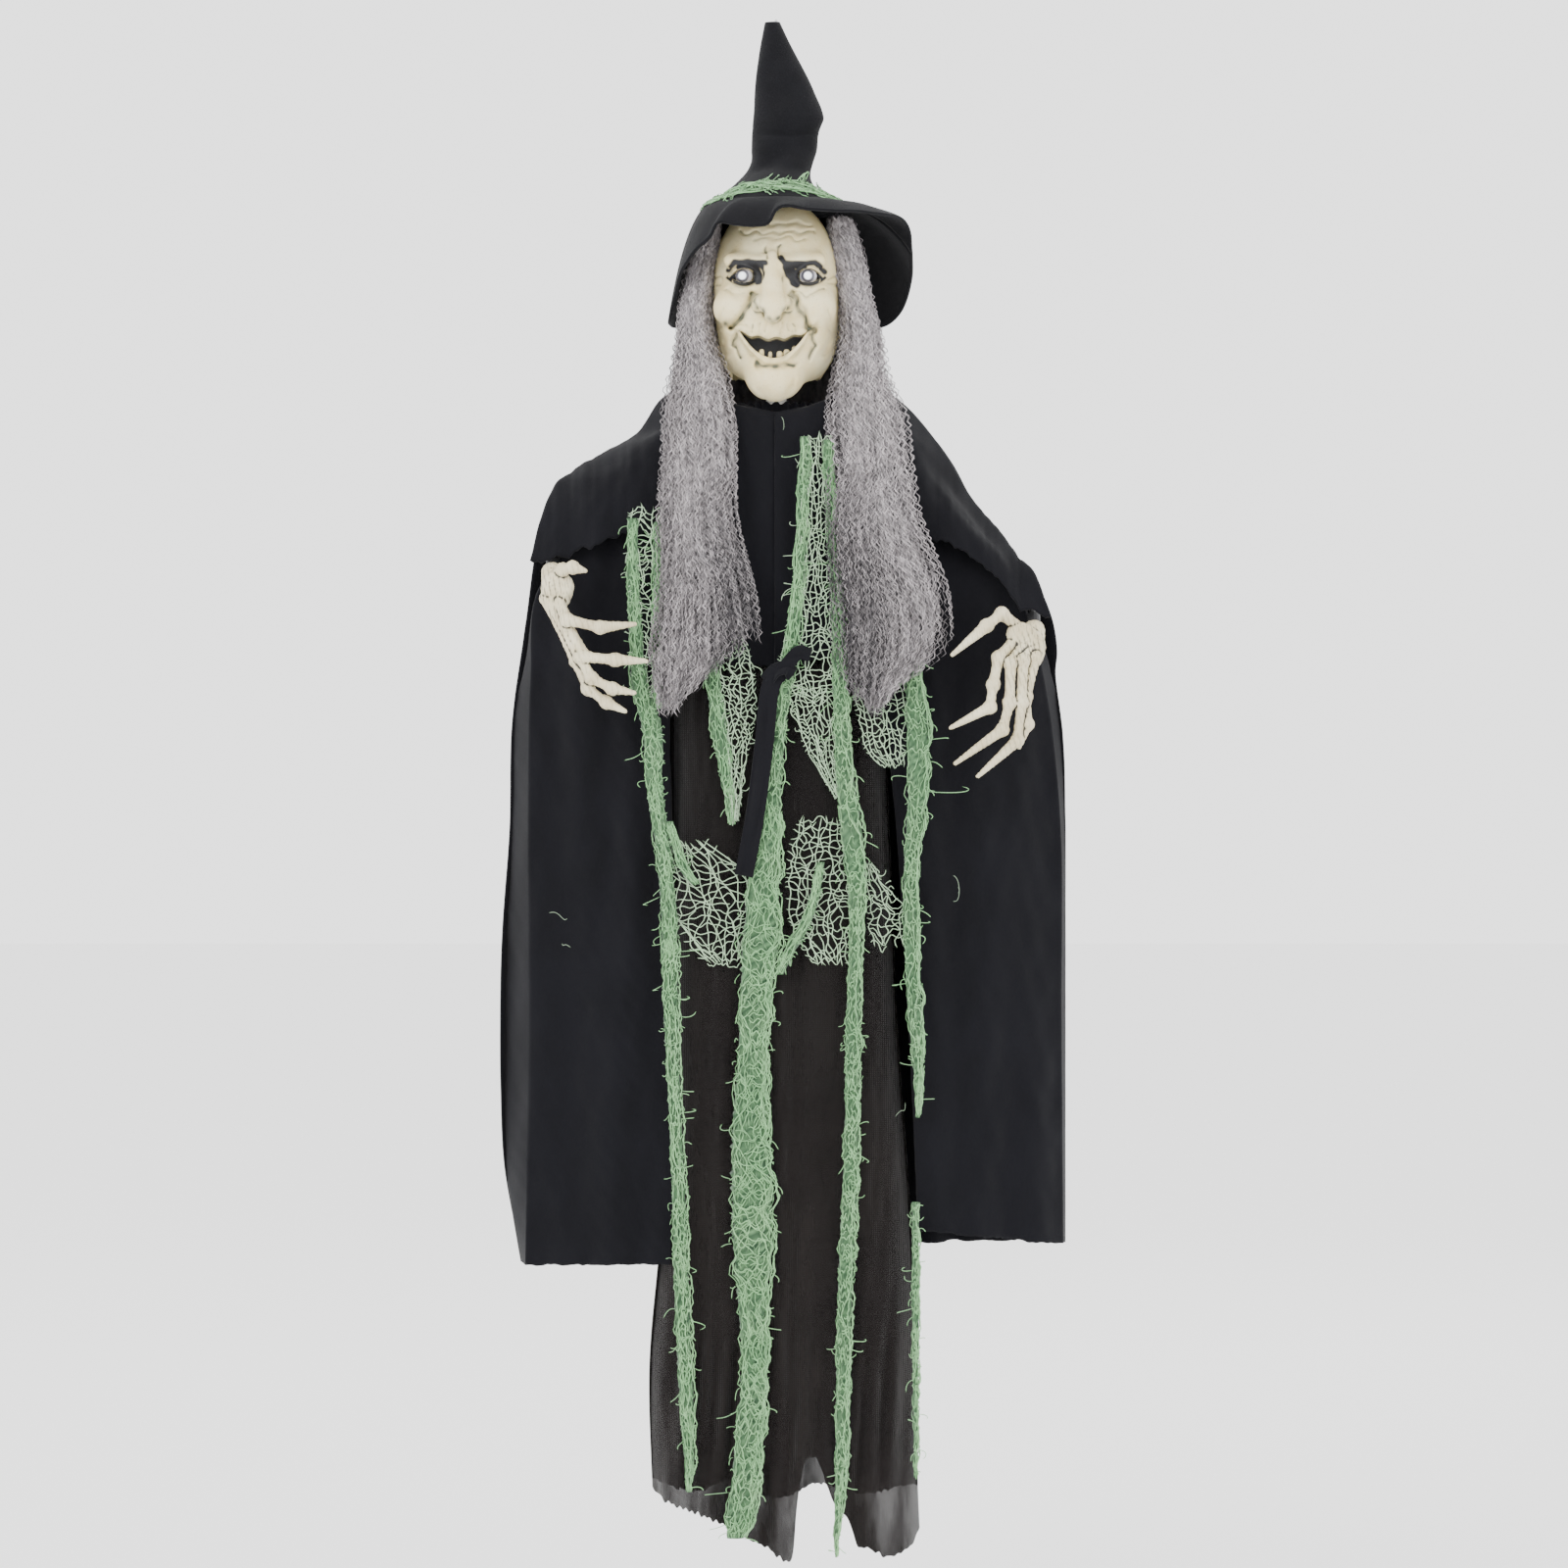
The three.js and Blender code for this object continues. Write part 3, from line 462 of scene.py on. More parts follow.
def cloth_sheet(grid, thickness, keep=None):
    """A closed sheet of cloth from a grid of points (rows, columns, 3), with its cut edges walled."""
    grid = np.asarray(grid, np.float64)
    rows, columns, _ = grid.shape
    offset = unit(np.cross(np.gradient(grid, axis=0), np.gradient(grid, axis=1))) * thickness / 2
    points = np.concatenate([(grid + offset).reshape(-1, 3), (grid - offset).reshape(-1, 3)])
    top = np.arange(rows * columns).reshape(rows, columns)
    under = rows * columns
    keep = np.ones((rows - 1, columns - 1), bool) if keep is None else keep
    cell = stacked(top[:-1, :-1], top[1:, :-1], top[1:, 1:], top[:-1, 1:])[keep]
    faces = [cell, cell[:, ::-1] + under]
    ringed = np.pad(keep, 1)
    above, below = ringed[:-1, 1:-1], ringed[1:, 1:-1]
    before, after = ringed[1:-1, :-1], ringed[1:-1, 1:]
    for edge, start, end in (
        (below & ~above, top[:, :-1], top[:, 1:]),
        (above & ~below, top[:, 1:], top[:, :-1]),
        (after & ~before, top[1:, :], top[:-1, :]),
        (before & ~after, top[:-1, :], top[1:, :]),
    ):
        m, n = start[edge], end[edge]
        faces.append(stacked(m, n, n + under, m + under))
    faces = np.concatenate(faces)
    used = np.unique(faces)
    number = np.zeros(len(points), int)
    number[used] = np.arange(len(used))
    return points[used], number[faces]


def curve(table, at):
    """The values of a table of [key, value, ...] rows, smoothly read at the given keys."""
    table = np.asarray(table, float)
    table = table[np.argsort(table[:, 0])]
    keys = table[:, 0]
    at = np.clip(np.asarray(at, float), keys[0], keys[-1])
    slopes = np.gradient(table[:, 1:], keys, axis=0)
    i = np.clip(np.searchsorted(keys, at, side="right") - 1, 0, len(keys) - 2)
    step = keys[i + 1] - keys[i]
    t = ((at - keys[i]) / step)[..., None]
    p0, p1 = table[i, 1:], table[i + 1, 1:]
    m0, m1 = slopes[i] * step[..., None], slopes[i + 1] * step[..., None]
    ends = (2 * t**3 - 3 * t**2 + 1) * p0 + (3 * t**2 - 2 * t**3) * p1
    return ends + (t**3 - 2 * t**2 + t) * m0 + (t**3 - t**2) * m1


def between(edges, share):
    """The place at a share of the way from column 0 of edges, the left one, to column 1."""
    return edges[..., 0] + (edges[..., 1] - edges[..., 0]) * share


def middle_and_half(edges):
    return (edges[..., 0] + edges[..., 1]) / 2, (edges[..., 1] - edges[..., 0]) / 2


def steps_down(count):
    """Shares from 0 to 1 as a column, one for each row of a grid."""
    return np.linspace(0, 1, count)[:, None]


def steps_along(count):
    return np.linspace(0, 1, count)[None, :]


class Ripples:
    """A smooth random field over a plane, from a few seeded waves. Its values are mostly within -1 and 1."""

    def __init__(self, seed, wave_u, wave_v, count=9):
        rng = np.random.default_rng(seed)
        self.ku = rng.uniform(0.5, 1.6, count) * TURN / wave_u * rng.choice([-1, 1], count)
        self.kv = rng.uniform(0.3, 1.3, count) * TURN / wave_v * rng.choice([-1, 1], count)
        self.phase = rng.uniform(0, TURN, count)
        self.size = rng.uniform(0.5, 1.0, count)
        self.size /= np.sqrt((self.size**2).sum() / 2) * 1.5

    def __call__(self, u, v):
        u, v = np.asarray(u, float)[..., None], np.asarray(v, float)[..., None]
        return (self.size * np.sin(self.ku * u + self.kv * v + self.phase)).sum(-1)


def smooth_step(low, high, value):
    t = np.clip((value - low) / (high - low), 0, 1)
    return t * t * (3 - 2 * t)


def bell(distance, width):
    """1 at distance 0, falling off smoothly over about the width."""
    return np.exp(-((distance / width) ** 2))


# ---------------------------------------------------------------- sculpting with distance fields


def ellipsoid(p, centre, radii, power=2):
    """Signed distance, near enough, to a round or (with a higher power) boxier ellipsoid."""
    x, y, z = (p[i] - centre[i] for i in range(3))
    if power != 2:
        near = sum(np.abs(v / r) ** power for v, r in zip((x, y, z), radii)) ** (1 / power)
        return (near - 1) * min(radii)
    near = np.sqrt(sum((v / r) ** 2 for v, r in zip((x, y, z), radii)))
    steep = np.sqrt(sum((v / r**2) ** 2 for v, r in zip((x, y, z), radii)))
    return near * (near - 1) / np.maximum(steep, 1e-6)


def bone_form(p, a, b, radius_a, radius_b, waist=0.0):
    """Signed distance to a tapered rod from a to b, thinner in the middle by the share waist."""
    a, b = np.asarray(a, float), np.asarray(b, float)
    d = b - a
    t = sum((p[i] - a[i]) * d[i] for i in range(3)) / (d @ d)
    t = np.clip(t, 0, 1)
    gap = np.sqrt(sum((p[i] - a[i] - t * d[i]) ** 2 for i in range(3)))
    return gap - (radius_a + (radius_b - radius_a) * t) * (1 - waist * (4 * t * (1 - t)) ** 0.7)


def join(a, b, soft):
    """Both forms as one, with a fillet about as wide as soft."""
    h = np.clip(0.5 + 0.5 * (b - a) / soft, 0, 1)
    return b * (1 - h) + a * h - soft * h * (1 - h)


def carve(a, b, soft):
    """The form a without the form b."""
    return -join(-a, b, soft)


def stroke_distance(x, z, line):
    """Distance in the front view from each point to a line of [x, z] points."""
    best = np.full(np.broadcast(x, z).shape, 1e9)
    for (ax, az), (bx, bz) in zip(line[:-1], line[1:]):
        dx, dz = bx - ax, bz - az
        t = np.clip(((x - ax) * dx + (z - az) * dz) / (dx * dx + dz * dz), 0, 1)
        best = np.minimum(best, np.hypot(x - ax - t * dx, z - az - t * dz))
    return best


def surface_of(field, low, step):
    """The zero surface of a field on a regular grid, as points and four-sided faces (surface nets)."""
    inside = field < 0
    shape = np.array(field.shape) - 1
    corners = np.array([(i, j, k) for i in (0, 1) for j in (0, 1) for k in (0, 1)])
    windows = [tuple(slice(c, n + c) for c, n in zip(corner, shape)) for corner in corners]
    count = sum(inside[window].astype(np.int8) for window in windows)
    cells = np.argwhere((count > 0) & (count < len(corners)))
    values = np.stack([field[tuple((cells + c).T)] for c in corners], 1)
    total, crossings = np.zeros((len(cells), 3)), np.zeros(len(cells))
    for first, axis in ((c, a) for c in range(len(corners)) for a in range(3)):
        if corners[first][axis]:
            continue
        second = first + (4, 2, 1)[axis]
        va, vb = values[:, first], values[:, second]
        cut = (va < 0) != (vb < 0)
        at = np.repeat(corners[first][None].astype(float), cut.sum(), 0)
        at[:, axis] += va[cut] / (va[cut] - vb[cut])
        total[cut] += at
        crossings[cut] += 1
    points = np.array(low) + step * (cells + total / crossings[:, None])
    number = np.full(tuple(shape), -1, np.int32)
    number[tuple(cells.T)] = np.arange(len(cells))
    faces = []
    for axis in range(3):
        u, v = np.eye(3, dtype=int)[(axis + 1) % 3], np.eye(3, dtype=int)[(axis + 2) % 3]
        edges = np.argwhere(inside != np.roll(inside, -1, axis))
        surrounded = ((edges > 0) | (np.arange(3) == axis)).all(1) & (edges < shape).all(1)
        edges = edges[surrounded]
        quad = np.stack([number[tuple((edges - s).T)] for s in (0 * u, u, u + v, v)], 1)
        turned = ~inside[tuple(edges.T)]
        quad[turned] = quad[turned][:, ::-1]
        faces.append(quad)
    faces = np.concatenate(faces)
    return points, faces[(faces >= 0).all(1)]


def gathered_sum(index, values, count):
    """For each of count points, the sum of the rows of values whose index names it."""
    return np.stack([np.bincount(index, values[:, k], count) for k in range(3)], 1)


def point_normals(points, faces):
    a, b, c, d = (points[faces[:, i]] for i in range(4))
    return unit(gathered_sum(faces.ravel(), np.repeat(np.cross(c - a, d - b), 4, 0), len(points)))


def hollowness(points, faces, rounds):
    """How far each point lies below its smoothed neighbourhood, in millimetres."""
    ends = np.concatenate([faces[:, [i, (i + 1) % 4]] for i in range(4)])
    number = np.bincount(ends[:, 0], minlength=len(points))[:, None]
    soft = points.copy()
    for _ in range(rounds):
        soft = gathered_sum(ends[:, 0], soft[ends[:, 1]], len(points)) / np.maximum(number, 1)
    return ((soft - points) * point_normals(points, faces)).sum(1)


def grid_points(low, high, step):
    axes = [np.arange(a, b + step, step, dtype=np.float32) for a, b in zip(low, high)]
    return axes[0][:, None, None], axes[1][None, :, None], axes[2][None, None, :]


# ---------------------------------------------------------------- the face

# All places here are measured from the head's centre.
EYE = {"x": 18.8, "y": -36.0, "z": 11.0, "radius": 5.2}
LID_RADIUS, LID_HALF_WALL, LID_BACK = 6.6, 0.9, -33
EYE_HALF_WIDTH, EYE_HALF_HEIGHT = 8.8, 4.1
MASK_LOW, MASK_HIGH, MASK_STEP = (-46, -68, -67), (46, 1, 66), 0.66
MASK_WALL, MASK_BACK = 2.0, -1.0
NECK_OPENING = {"radius": 26.0, "top": -38}
MOUTH = {"middle": -1.5, "half": 19.5, "upper": -26.2, "lower": -37.6, "corner": -22.4, "floor": -30.0}

# Folds of the face in the front view: points, width and depth.
FOLDS = [
    ([(-13, 0), (-16.5, -7), (-20, -13), (-26, -18.5)], 2.1, 2.8),
    ([(9, 0), (13.5, -8), (17, -15), (21.5, -22)], 2.1, 2.8),
    ([(-26, -18), (-31, -17.5)], 1.5, 1.0),
    ([(-12, -41.2), (-6, -42.6), (3, -42.6), (10.5, -41.2)], 1.7, 2.0),
    ([(-22, 38), (-8, 36.4), (6, 37.6), (22, 38.4)], 1.2, 1.0),
    ([(-12, 33.4), (2, 34.2), (16, 33.0)], 1.1, 0.8),
    ([(-20, 43.5), (-4, 42), (10, 43), (20, 42.6)], 1.2, 0.8),
    ([(-6, 28), (-5, 21)], 1.1, 1.3),
    ([(1, 28), (0.5, 21)], 1.1, 1.3),
    ([(-29, 3.4), (-22, -0.8), (-13, 1.8)], 1.4, 1.1),
    ([(10, 1.8), (19, -0.8), (28, 3.6)], 1.4, 1.1),
    ([(-31, -9), (-33.5, -20), (-29, -33)], 2.0, 1.1),
    ([(30, -10), (33, -22), (28, -35)], 2.0, 1.1),
    ([(-23, -23), (-25, -29), (-21, -36)], 1.6, 1.5),
    ([(20, -24), (22.5, -30), (19, -37)], 1.6, 1.5),
    ([(-32, 10.5), (-36, 13)], 0.9, 0.8),
    ([(-32, 8), (-36, 7)], 0.9, 0.8),
    ([(31, 10.5), (35, 13)], 0.9, 0.8),
    ([(31, 8), (35, 7)], 0.9, 0.8),
    ([(-9, -46), (-11, -54), (-6, -60)], 2.0, 0.7),
    ([(8, -46), (10, -54), (5, -60)], 2.0, 0.7),
]
WASHED_FOLDS = FOLDS[:4] + FOLDS[13:15]  # from nose to mouth, under the lip, beside the mouth
FOLDS += [([(x, -17.5), (x * 1.08, -22.5)], 0.75, 0.7) for x in (-13, -9.5, -6, 3, 6.5, 10)]  # over the lip

# Black paint in the front view: brow and lid strokes with their half width.
BROWS = [
    ([(-28, 15.5), (-24.5, 19.0), (-16, 18.8), (-6.5, 17.4)], 1.9),
    ([(-15, 16.5), (-10.0, 15.0), (-11.0, 10)], 4.2),
    ([(-22, 16), (-16, 16.2)], 1.8),
    ([(2.6, 21.0), (5, 17.6), (13, 17.6), (23, 18.8), (28.5, 14.5)], 1.9),
    ([(7.4, 15.5), (9.0, 12.0), (12.0, 8.0)], 4.0),
    ([(12, 16), (17, 16)], 1.6),
]
NOSE_OUTLINE = [
    (-11.5, -1), (-13, -5), (-11.5, -9), (-8, -10.5), (-6.5, -14.5), (-2, -17.5), (3, -14.5), (4.5, -10.5),
    (8, -8.5), (9.5, -3),
]
TEETH = [(-8.5, -36, 1.5), (-3.5, -37.4, 1.2), (2.0, -37.2, 1.8), (6.2, -36.2, 1.9), (10.5, -34, 1.3)]
FOLD_WANDER = Ripples(6, 13, 11)
FOLD_SHIFT = 0.8


def eye_shape(x, z, side, grow=0.0):
    """Below zero inside the almond of an eye opening."""
    dx = x - side * EYE["x"]
    half = EYE_HALF_WIDTH + grow
    opening = (EYE_HALF_HEIGHT + grow) * (1 - np.clip(np.abs(dx) / half, 0, 1) ** 2)
    return np.maximum(np.abs(z - EYE["z"]) - opening, np.abs(dx) - half)


def mouth_shape(x, z):
    """Below zero inside the mouth, whose upper lip is a little wavy."""
    u = ((x - MOUTH["middle"]) / MOUTH["half"]) ** 2
    upper = MOUTH["upper"] + (MOUTH["corner"] - MOUTH["upper"]) * u + 0.7 * np.cos(x * 0.62)
    lower = MOUTH["lower"] + (MOUTH["corner"] - MOUTH["lower"]) * u
    return np.maximum(z - upper, lower - z)


def head_form(p):
    """The outside of the face before its folds."""
    x, y, z = p
    skull = ellipsoid(p, (0, 2, 8), (38.5, 44, 54))
    jaw = ellipsoid(p, (1, -6, -17), (34.5, 37, 38), 2.35)
    chin = ellipsoid(p, (-1, -31, -48), (17, 15, 14.5))
    d = join(join(skull, jaw, 8), chin, 8)
    for side in (-1, 1):
        cheek = ellipsoid(p, (-1.5 + side * 22.5, -30, -7), (13, 13.5, 12.5))
        brow = bone_form(p, (-1 + side * 26, -32, 21), (-2 + side * 6, -43, 17.5), 4.0, 4.6)
        d = join(join(d, cheek, 9), brow, 6)
    for side in (-1, 1):
        socket = ellipsoid(p, (side * 18.6, -50, 11), (12.5, 13, 7.8))
        d = carve(d, socket, 4)
    bridge = bone_form(p, (-3, -42, 21), (-2, -54.5, -6), 4.4, 7.0)
    tip = ellipsoid(p, (-2, -55.5, -8.5), (7.8, 7.2, 7.2))
    hook = ellipsoid(p, (-2, -56.5, -13.6), (4.7, 4.6, 4.8))
    d = join(join(join(d, bridge, 4), tip, 3), hook, 3)
    for side in (-1, 1):
        wing = ellipsoid(p, (-2 + side * 8.8, -47.5, -5.4), (5.0, 7.0, 5.4))
        nostril = ellipsoid(p, (-2 + side * 5.0, -54, -13), (2.2, 4.5, 2.0))
        d = carve(join(d, wing, 2.2), nostril, 1.2)
    upper_lip = ellipsoid(p, (-2, -37, -20.5), (17.5, 9.5, 8.6))
    lips = np.maximum(np.abs(mouth_shape(x, z) - 1.6) - 1.7, np.abs(y + 39.5) - 4.2)
    return join(join(d, upper_lip, 6), lips, 3.5)


def mask_field(p):
    """The hollow mask: head form with folds, open mouth with teeth and a floor, eyelids, neck opening."""
    x, y, z = p
    d = head_form(p)
    front = smooth_step(-4, -12, y)
    wave = FOLD_SHIFT * FOLD_WANDER(x[:, 0], z[0])
    for line, width, depth in FOLDS:
        near = stroke_distance(x[:, 0] + wave, z[0] + wave, line)[:, None, :]
        d = d + depth * bell(near, width) * front
    shell = np.maximum(d, -(d + MASK_WALL))
    mouth = mouth_shape(x, z)
    floor = np.maximum(np.maximum(d, mouth - 1.5), np.abs(y - MOUTH["floor"] - 1) - 1)
    shell = carve(shell, np.maximum(mouth, y + 20), 1.0)
    shell = np.minimum(shell, floor)
    for tooth_x, height, size in TEETH:
        shell = join(shell, ellipsoid(p, (tooth_x, -38.2, height + 1.5), (size, 1.6, 2.5), 3), 0.6)
    for side in (-1, 1):
        eye = (side * EYE["x"], EYE["y"], EYE["z"])
        gap = np.sqrt(sum((p[i] - eye[i]) ** 2 for i in range(3)))
        opening = eye_shape(x, z, side)
        lids = np.maximum(np.abs(gap - LID_RADIUS) - LID_HALF_WALL, -opening)
        lids = np.maximum(lids, y - LID_BACK)
        shell = carve(shell, gap - (EYE["radius"] + 0.4), 0.5)
        off_lens = np.hypot(x - eye[0], z - eye[2]) - EYE["radius"]
        shell = carve(shell, np.maximum(opening, off_lens), 0.6)
        shell = join(shell, lids, 1.6)
    shell = np.maximum(shell, y - MASK_BACK)
    neck = np.minimum(NECK_OPENING["radius"] - np.hypot(x, y), NECK_OPENING["top"] - z)
    return np.maximum(shell, neck)


def mask_paint(points, faces):
    """How much dark wash and black paint each point of the mask has."""
    x, z = points[:, 0], points[:, 2]
    front = smooth_step(-0.05, -0.35, point_normals(points, faces)[:, 1])
    fine = smooth_step(0.05, 0.45, hollowness(points, faces, 10))
    broad = smooth_step(0.3, 2.2, hollowness(points, faces, 60))
    folds = np.zeros(len(points))
    wave = FOLD_SHIFT * FOLD_WANDER(x, z)
    patchy = smooth_step(-0.7, 0.8, Ripples(7, 8, 8)(x, z))
    for line, width, _ in WASHED_FOLDS:
        near = stroke_distance(x + wave, z + wave, line)
        folds = np.maximum(folds, (0.35 + 0.6 * patchy) * bell(near, 0.85 * width))
    nose = bell(stroke_distance(x, z, NOSE_OUTLINE), 1.25)
    blotch = Ripples(5, 9, 9)(x, z) * 0.5 + 0.5
    mouth = mouth_shape(x, z)
    lips = bell(np.maximum(mouth, 0), 2.5)
    hollows = 0.85 * fine + 0.5 * broad + folds
    wash = np.clip(hollows + (0.5 + 0.5 * patchy) * nose + 0.4 * lips * blotch, 0, 1)
    wash = wash * (0.6 + 0.4 * blotch)
    black = smooth_step(0.5, -0.4, mouth) * smooth_step(-40.5, -38.6, points[:, 1])
    teeth = (points[:, 1] < -36.4) & (mouth < -0.3) & (z < -31)
    black[teeth] = 0
    for line, half in BROWS:
        wander = half * (0.8 + 0.3 * blotch)
        black = np.maximum(black, smooth_step(wander + 0.5, wander - 0.5, stroke_distance(x, z, line)))
    for side in (-1, 1):
        rim = eye_shape(x, z, side, 2.3)
        crescent = np.maximum(eye_shape(x, z - 1.1, side, 1.2), -eye_shape(x, z + 0.9, side, 1.0))
        lid = np.where((crescent < 0) & (np.abs(x) > 17), 0.25, 1.0)
        black = np.maximum(black, smooth_step(0.6, -0.4, rim) * lid)
    return np.clip(wash, 0, 1) * front, black * front


def make_face():
    p = grid_points(MASK_LOW, MASK_HIGH, MASK_STEP)
    points, faces = surface_of(mask_field(p), MASK_LOW, MASK_STEP)
    wash, black = mask_paint(points, faces)
    attributes = {"wash": wash, "black": black}
    piece = make_mesh("witch_mask", points + (0, 0, HEAD_Z), faces, "bone", "head", attributes=attributes)
    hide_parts("face_mask")


def make_eyes():
    """Each lens is a smooth dome with rings painted by distance from the line of sight."""
    rings, turns = 18, 36
    radius = EYE["radius"]
    polar = np.pi * np.arange(rings + 1)[:, None] / rings
    round_axis = TURN * np.arange(turns)[None, :] / turns
    for side, name, glance in ((-1, "left", 1.2), (1, "right", 0.2)):
        out_x = radius * np.sin(polar) * np.cos(round_axis)
        out_z = radius * np.sin(polar) * np.sin(round_axis)
        y = EYE["y"] - radius * np.cos(polar)
        points = stacked(side * EYE["x"] + out_x, y, HEAD_Z + EYE["z"] + out_z)
        ring = np.clip(np.hypot(out_x + glance, out_z) / radius, 0, 1)
        faces = ring_faces(rings + 1, turns)
        piece = make_mesh(f"eye_{name}", points, faces, "eye", "head", attributes={"ring": ring})
        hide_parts(f"eye_lens_{name}")


# ---------------------------------------------------------------- the hands

WRIST = {"left": (-132.0, -36.0, -332.0), "right": (152.0, -36.0, -366.0)}
FOREARM = np.array([0, -0.6, -0.8])  # the way the wrist peg points
HAND_STEP = 0.5
FINGER_RADIUS, KNUCKLE, WAIST = 4.3, (4.1, 4.1, 3.9), 0.24
TAPER, TIP_RADIUS = 0.30, 1.3
HEEL_RADII, PEG_BORE = (6.4, 6.0), 4.3
DIGITS = {  # from the wrist: the thumb, then the fingers
    "left": [
        [(2, -6, 0), (7, -14, 3.5), (13, -22, 4.5), (20.6, -27, 2.3)],
        [(3, -10, -12), (9.6, -20, -26), (29.3, -27, -30.7), (49.6, -29, -28.8)],
        [(1, -10, -14), (20, -22, -47.8), (38, -27, -49.6), (56.2, -29, -50.4)],
        [(-1, -9, -14), (17.5, -20, -48), (24, -24, -60.2), (36.3, -27, -66.4), (49.2, -28, -69)],
        [(-3, -7, -13), (15, -16, -50), (22, -20, -66.5), (32.8, -22, -74.4), (43.8, -23, -79.7)],
    ],
    "right": [
        [(-4, -7, 0), (-19.8, -13, 11.7), (-28.7, -19, 4.6), (-49, -24, -12.6)],
        [(-12, -10, -4), (-21.6, -16, -14), (-25, -20, -30), (-27, -23, -43.2), (-49.9, -26, -55.2)],
        [(-8, -11, -8), (-14.6, -17, -17.5), (-15.4, -21, -40.6), (-19.8, -25, -56.5), (-47.3, -28, -76)],
        [(-3, -10, -8), (-7.4, -16, -15.7), (-8.3, -19, -40.6), (-11, -23, -62.7), (-34, -26, -83.5)],
        [(2, -7, -8), (0, -12, -14), (-5.7, -15, -37), (-4.8, -18, -53), (-10, -20, -66.6)],
    ],
}
HAND_WEB = {"left": (5.0, -11.5, -6.0), "right": (-9.0, -11.0, 0.0)}  # the flesh between thumb and fingers


def hand_field(p, name):
    side = 1 if name == "left" else -1
    d = ellipsoid(p, (side * 3, -8, -9), (9.0, 5.5, 12.0))
    d = join(d, ellipsoid(p, HAND_WEB[name], (8.0, 4.0, 7.0)), 5.0)
    for digit in DIGITS[name]:
        last = len(digit) - 2
        finger = None
        for i, (a, b) in enumerate(zip(digit[:-1], digit[1:])):
            start = FINGER_RADIUS - TAPER * i
            end = TIP_RADIUS if i == last else start - TAPER
            form = bone_form(p, a, b, start, end, 0.0 if i == last else WAIST)
            finger = form if finger is None else join(finger, form, 1.0)
        for joint in digit[1:-1]:
            finger = join(finger, ellipsoid(p, joint, KNUCKLE), 1.4)
        d = join(d, finger, 0.35)
    heel = bone_form(p, -3 * FOREARM, 7 * FOREARM, *HEEL_RADII)
    d = join(d, heel, 2.5)
    peg = bone_form(p, -18 * FOREARM, 4 * FOREARM, PEG_BORE, PEG_BORE)
    return carve(d, peg, 0.5)


def make_hand(name):
    ends = np.array([point for digit in DIGITS[name] for point in digit])
    heel, margin = 12, 6
    low = np.minimum(ends.min(0), -heel) - margin
    high = np.maximum(ends.max(0), heel) + margin
    p = grid_points(low, high, HAND_STEP)
    field = hand_field(p, name)
    skin = Ripples(8 if name == "left" else 9, 3.2, 5.0)
    field = field + 0.14 * skin(p[0] + 0.5 * p[1], p[2] + 0.4 * p[1])
    points, faces = surface_of(field, low, HAND_STEP)
    fine = smooth_step(0.02, 0.20, hollowness(points, faces, 10))
    broad = smooth_step(0.10, 1.0, hollowness(points, faces, 60))
    grain = Ripples(12, 2.4, 9.0)(points[:, 0], points[:, 2])
    palm = bell(np.linalg.norm(points - (0, -8, -14), axis=1), 18.0)
    wash = np.clip(0.95 * fine + 0.9 * broad + (0.25 + 0.5 * palm) * smooth_step(0.2, 1.0, grain), 0, 1)
    piece = make_mesh(
        f"skeleton_hand_{name}", points + WRIST[name], faces, "hand_bone", f"hand_{name}",
        attributes={"wash": wash, "black": 0.9 * fine * broad},
    )
    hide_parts(f"hand_{name}")


# ---------------------------------------------------------------- hair

LOCKS = {  # height, middle and half width in the front view, y of the front, depth
    "left": [
        (-118, -39, 5, -12, 12), (-145, -43.6, 8.5, -16, 18), (-165, -47, 9.5, -22, 22),
        (-188, -48, 10.5, -30, 22),
        (-211, -46.5, 14.5, -42, 20), (-234, -46, 17.5, -52, 18), (-262, -46, 18, -57, 12),
        (-292, -46.5, 18.5, -59, 10),
        (-349, -41, 24, -60, 9), (-380, -42, 26, -59, 8), (-408, -54, 17, -58, 6),
    ],
    "right": [
        (-118, 38, 7, -12, 12), (-145, 42.5, 10.5, -16, 18), (-165, 46.5, 10, -22, 22),
        (-188, 50, 11.5, -30, 22),
        (-211, 50.5, 14, -42, 20), (-234, 53, 19, -52, 18), (-262, 55, 20, -57, 12), (-292, 57, 22, -59, 10),
        (-349, 67, 28, -60, 9), (-385, 66, 26, -59, 8), (-410, 59, 15, -58, 6),
    ],
}
LOCK_ENDS = {  # share across the lock from left to right, height of the longest hair there
    "left": [(-1.3, -398), (-0.9, -408), (-0.3, -411), (0.1, -398), (0.4, -384), (0.8, -374), (1.3, -366)],
    "right": [(-1.3, -392), (-0.8, -402), (-0.3, -411), (0.1, -411), (0.5, -396), (0.9, -384), (1.3, -372)],
}
CRIMP_LENGTH = 5.6
CRIMP_DEPTH = 1.25
STRAND_RADIUS = 0.27
STRAND_STEPS = 112
CLUMPS = 26
LAYER_STRANDS = 290
LOCK_TOP = -116
HAIR_BACK = [  # height, half width, half depth, y of the middle
    (-113, 40, 38, 2), (-150, 42.5, 40, 2), (-200, 43, 42, 3), (-235, 41, 42, 6), (-266, 38, 38, 12),
]
HAIR_BACK_STRANDS, HAIR_BACK_LENGTH, HAIR_BACK_TOP, HAIR_BACK_RADIUS = 420, 140, -113, 0.42


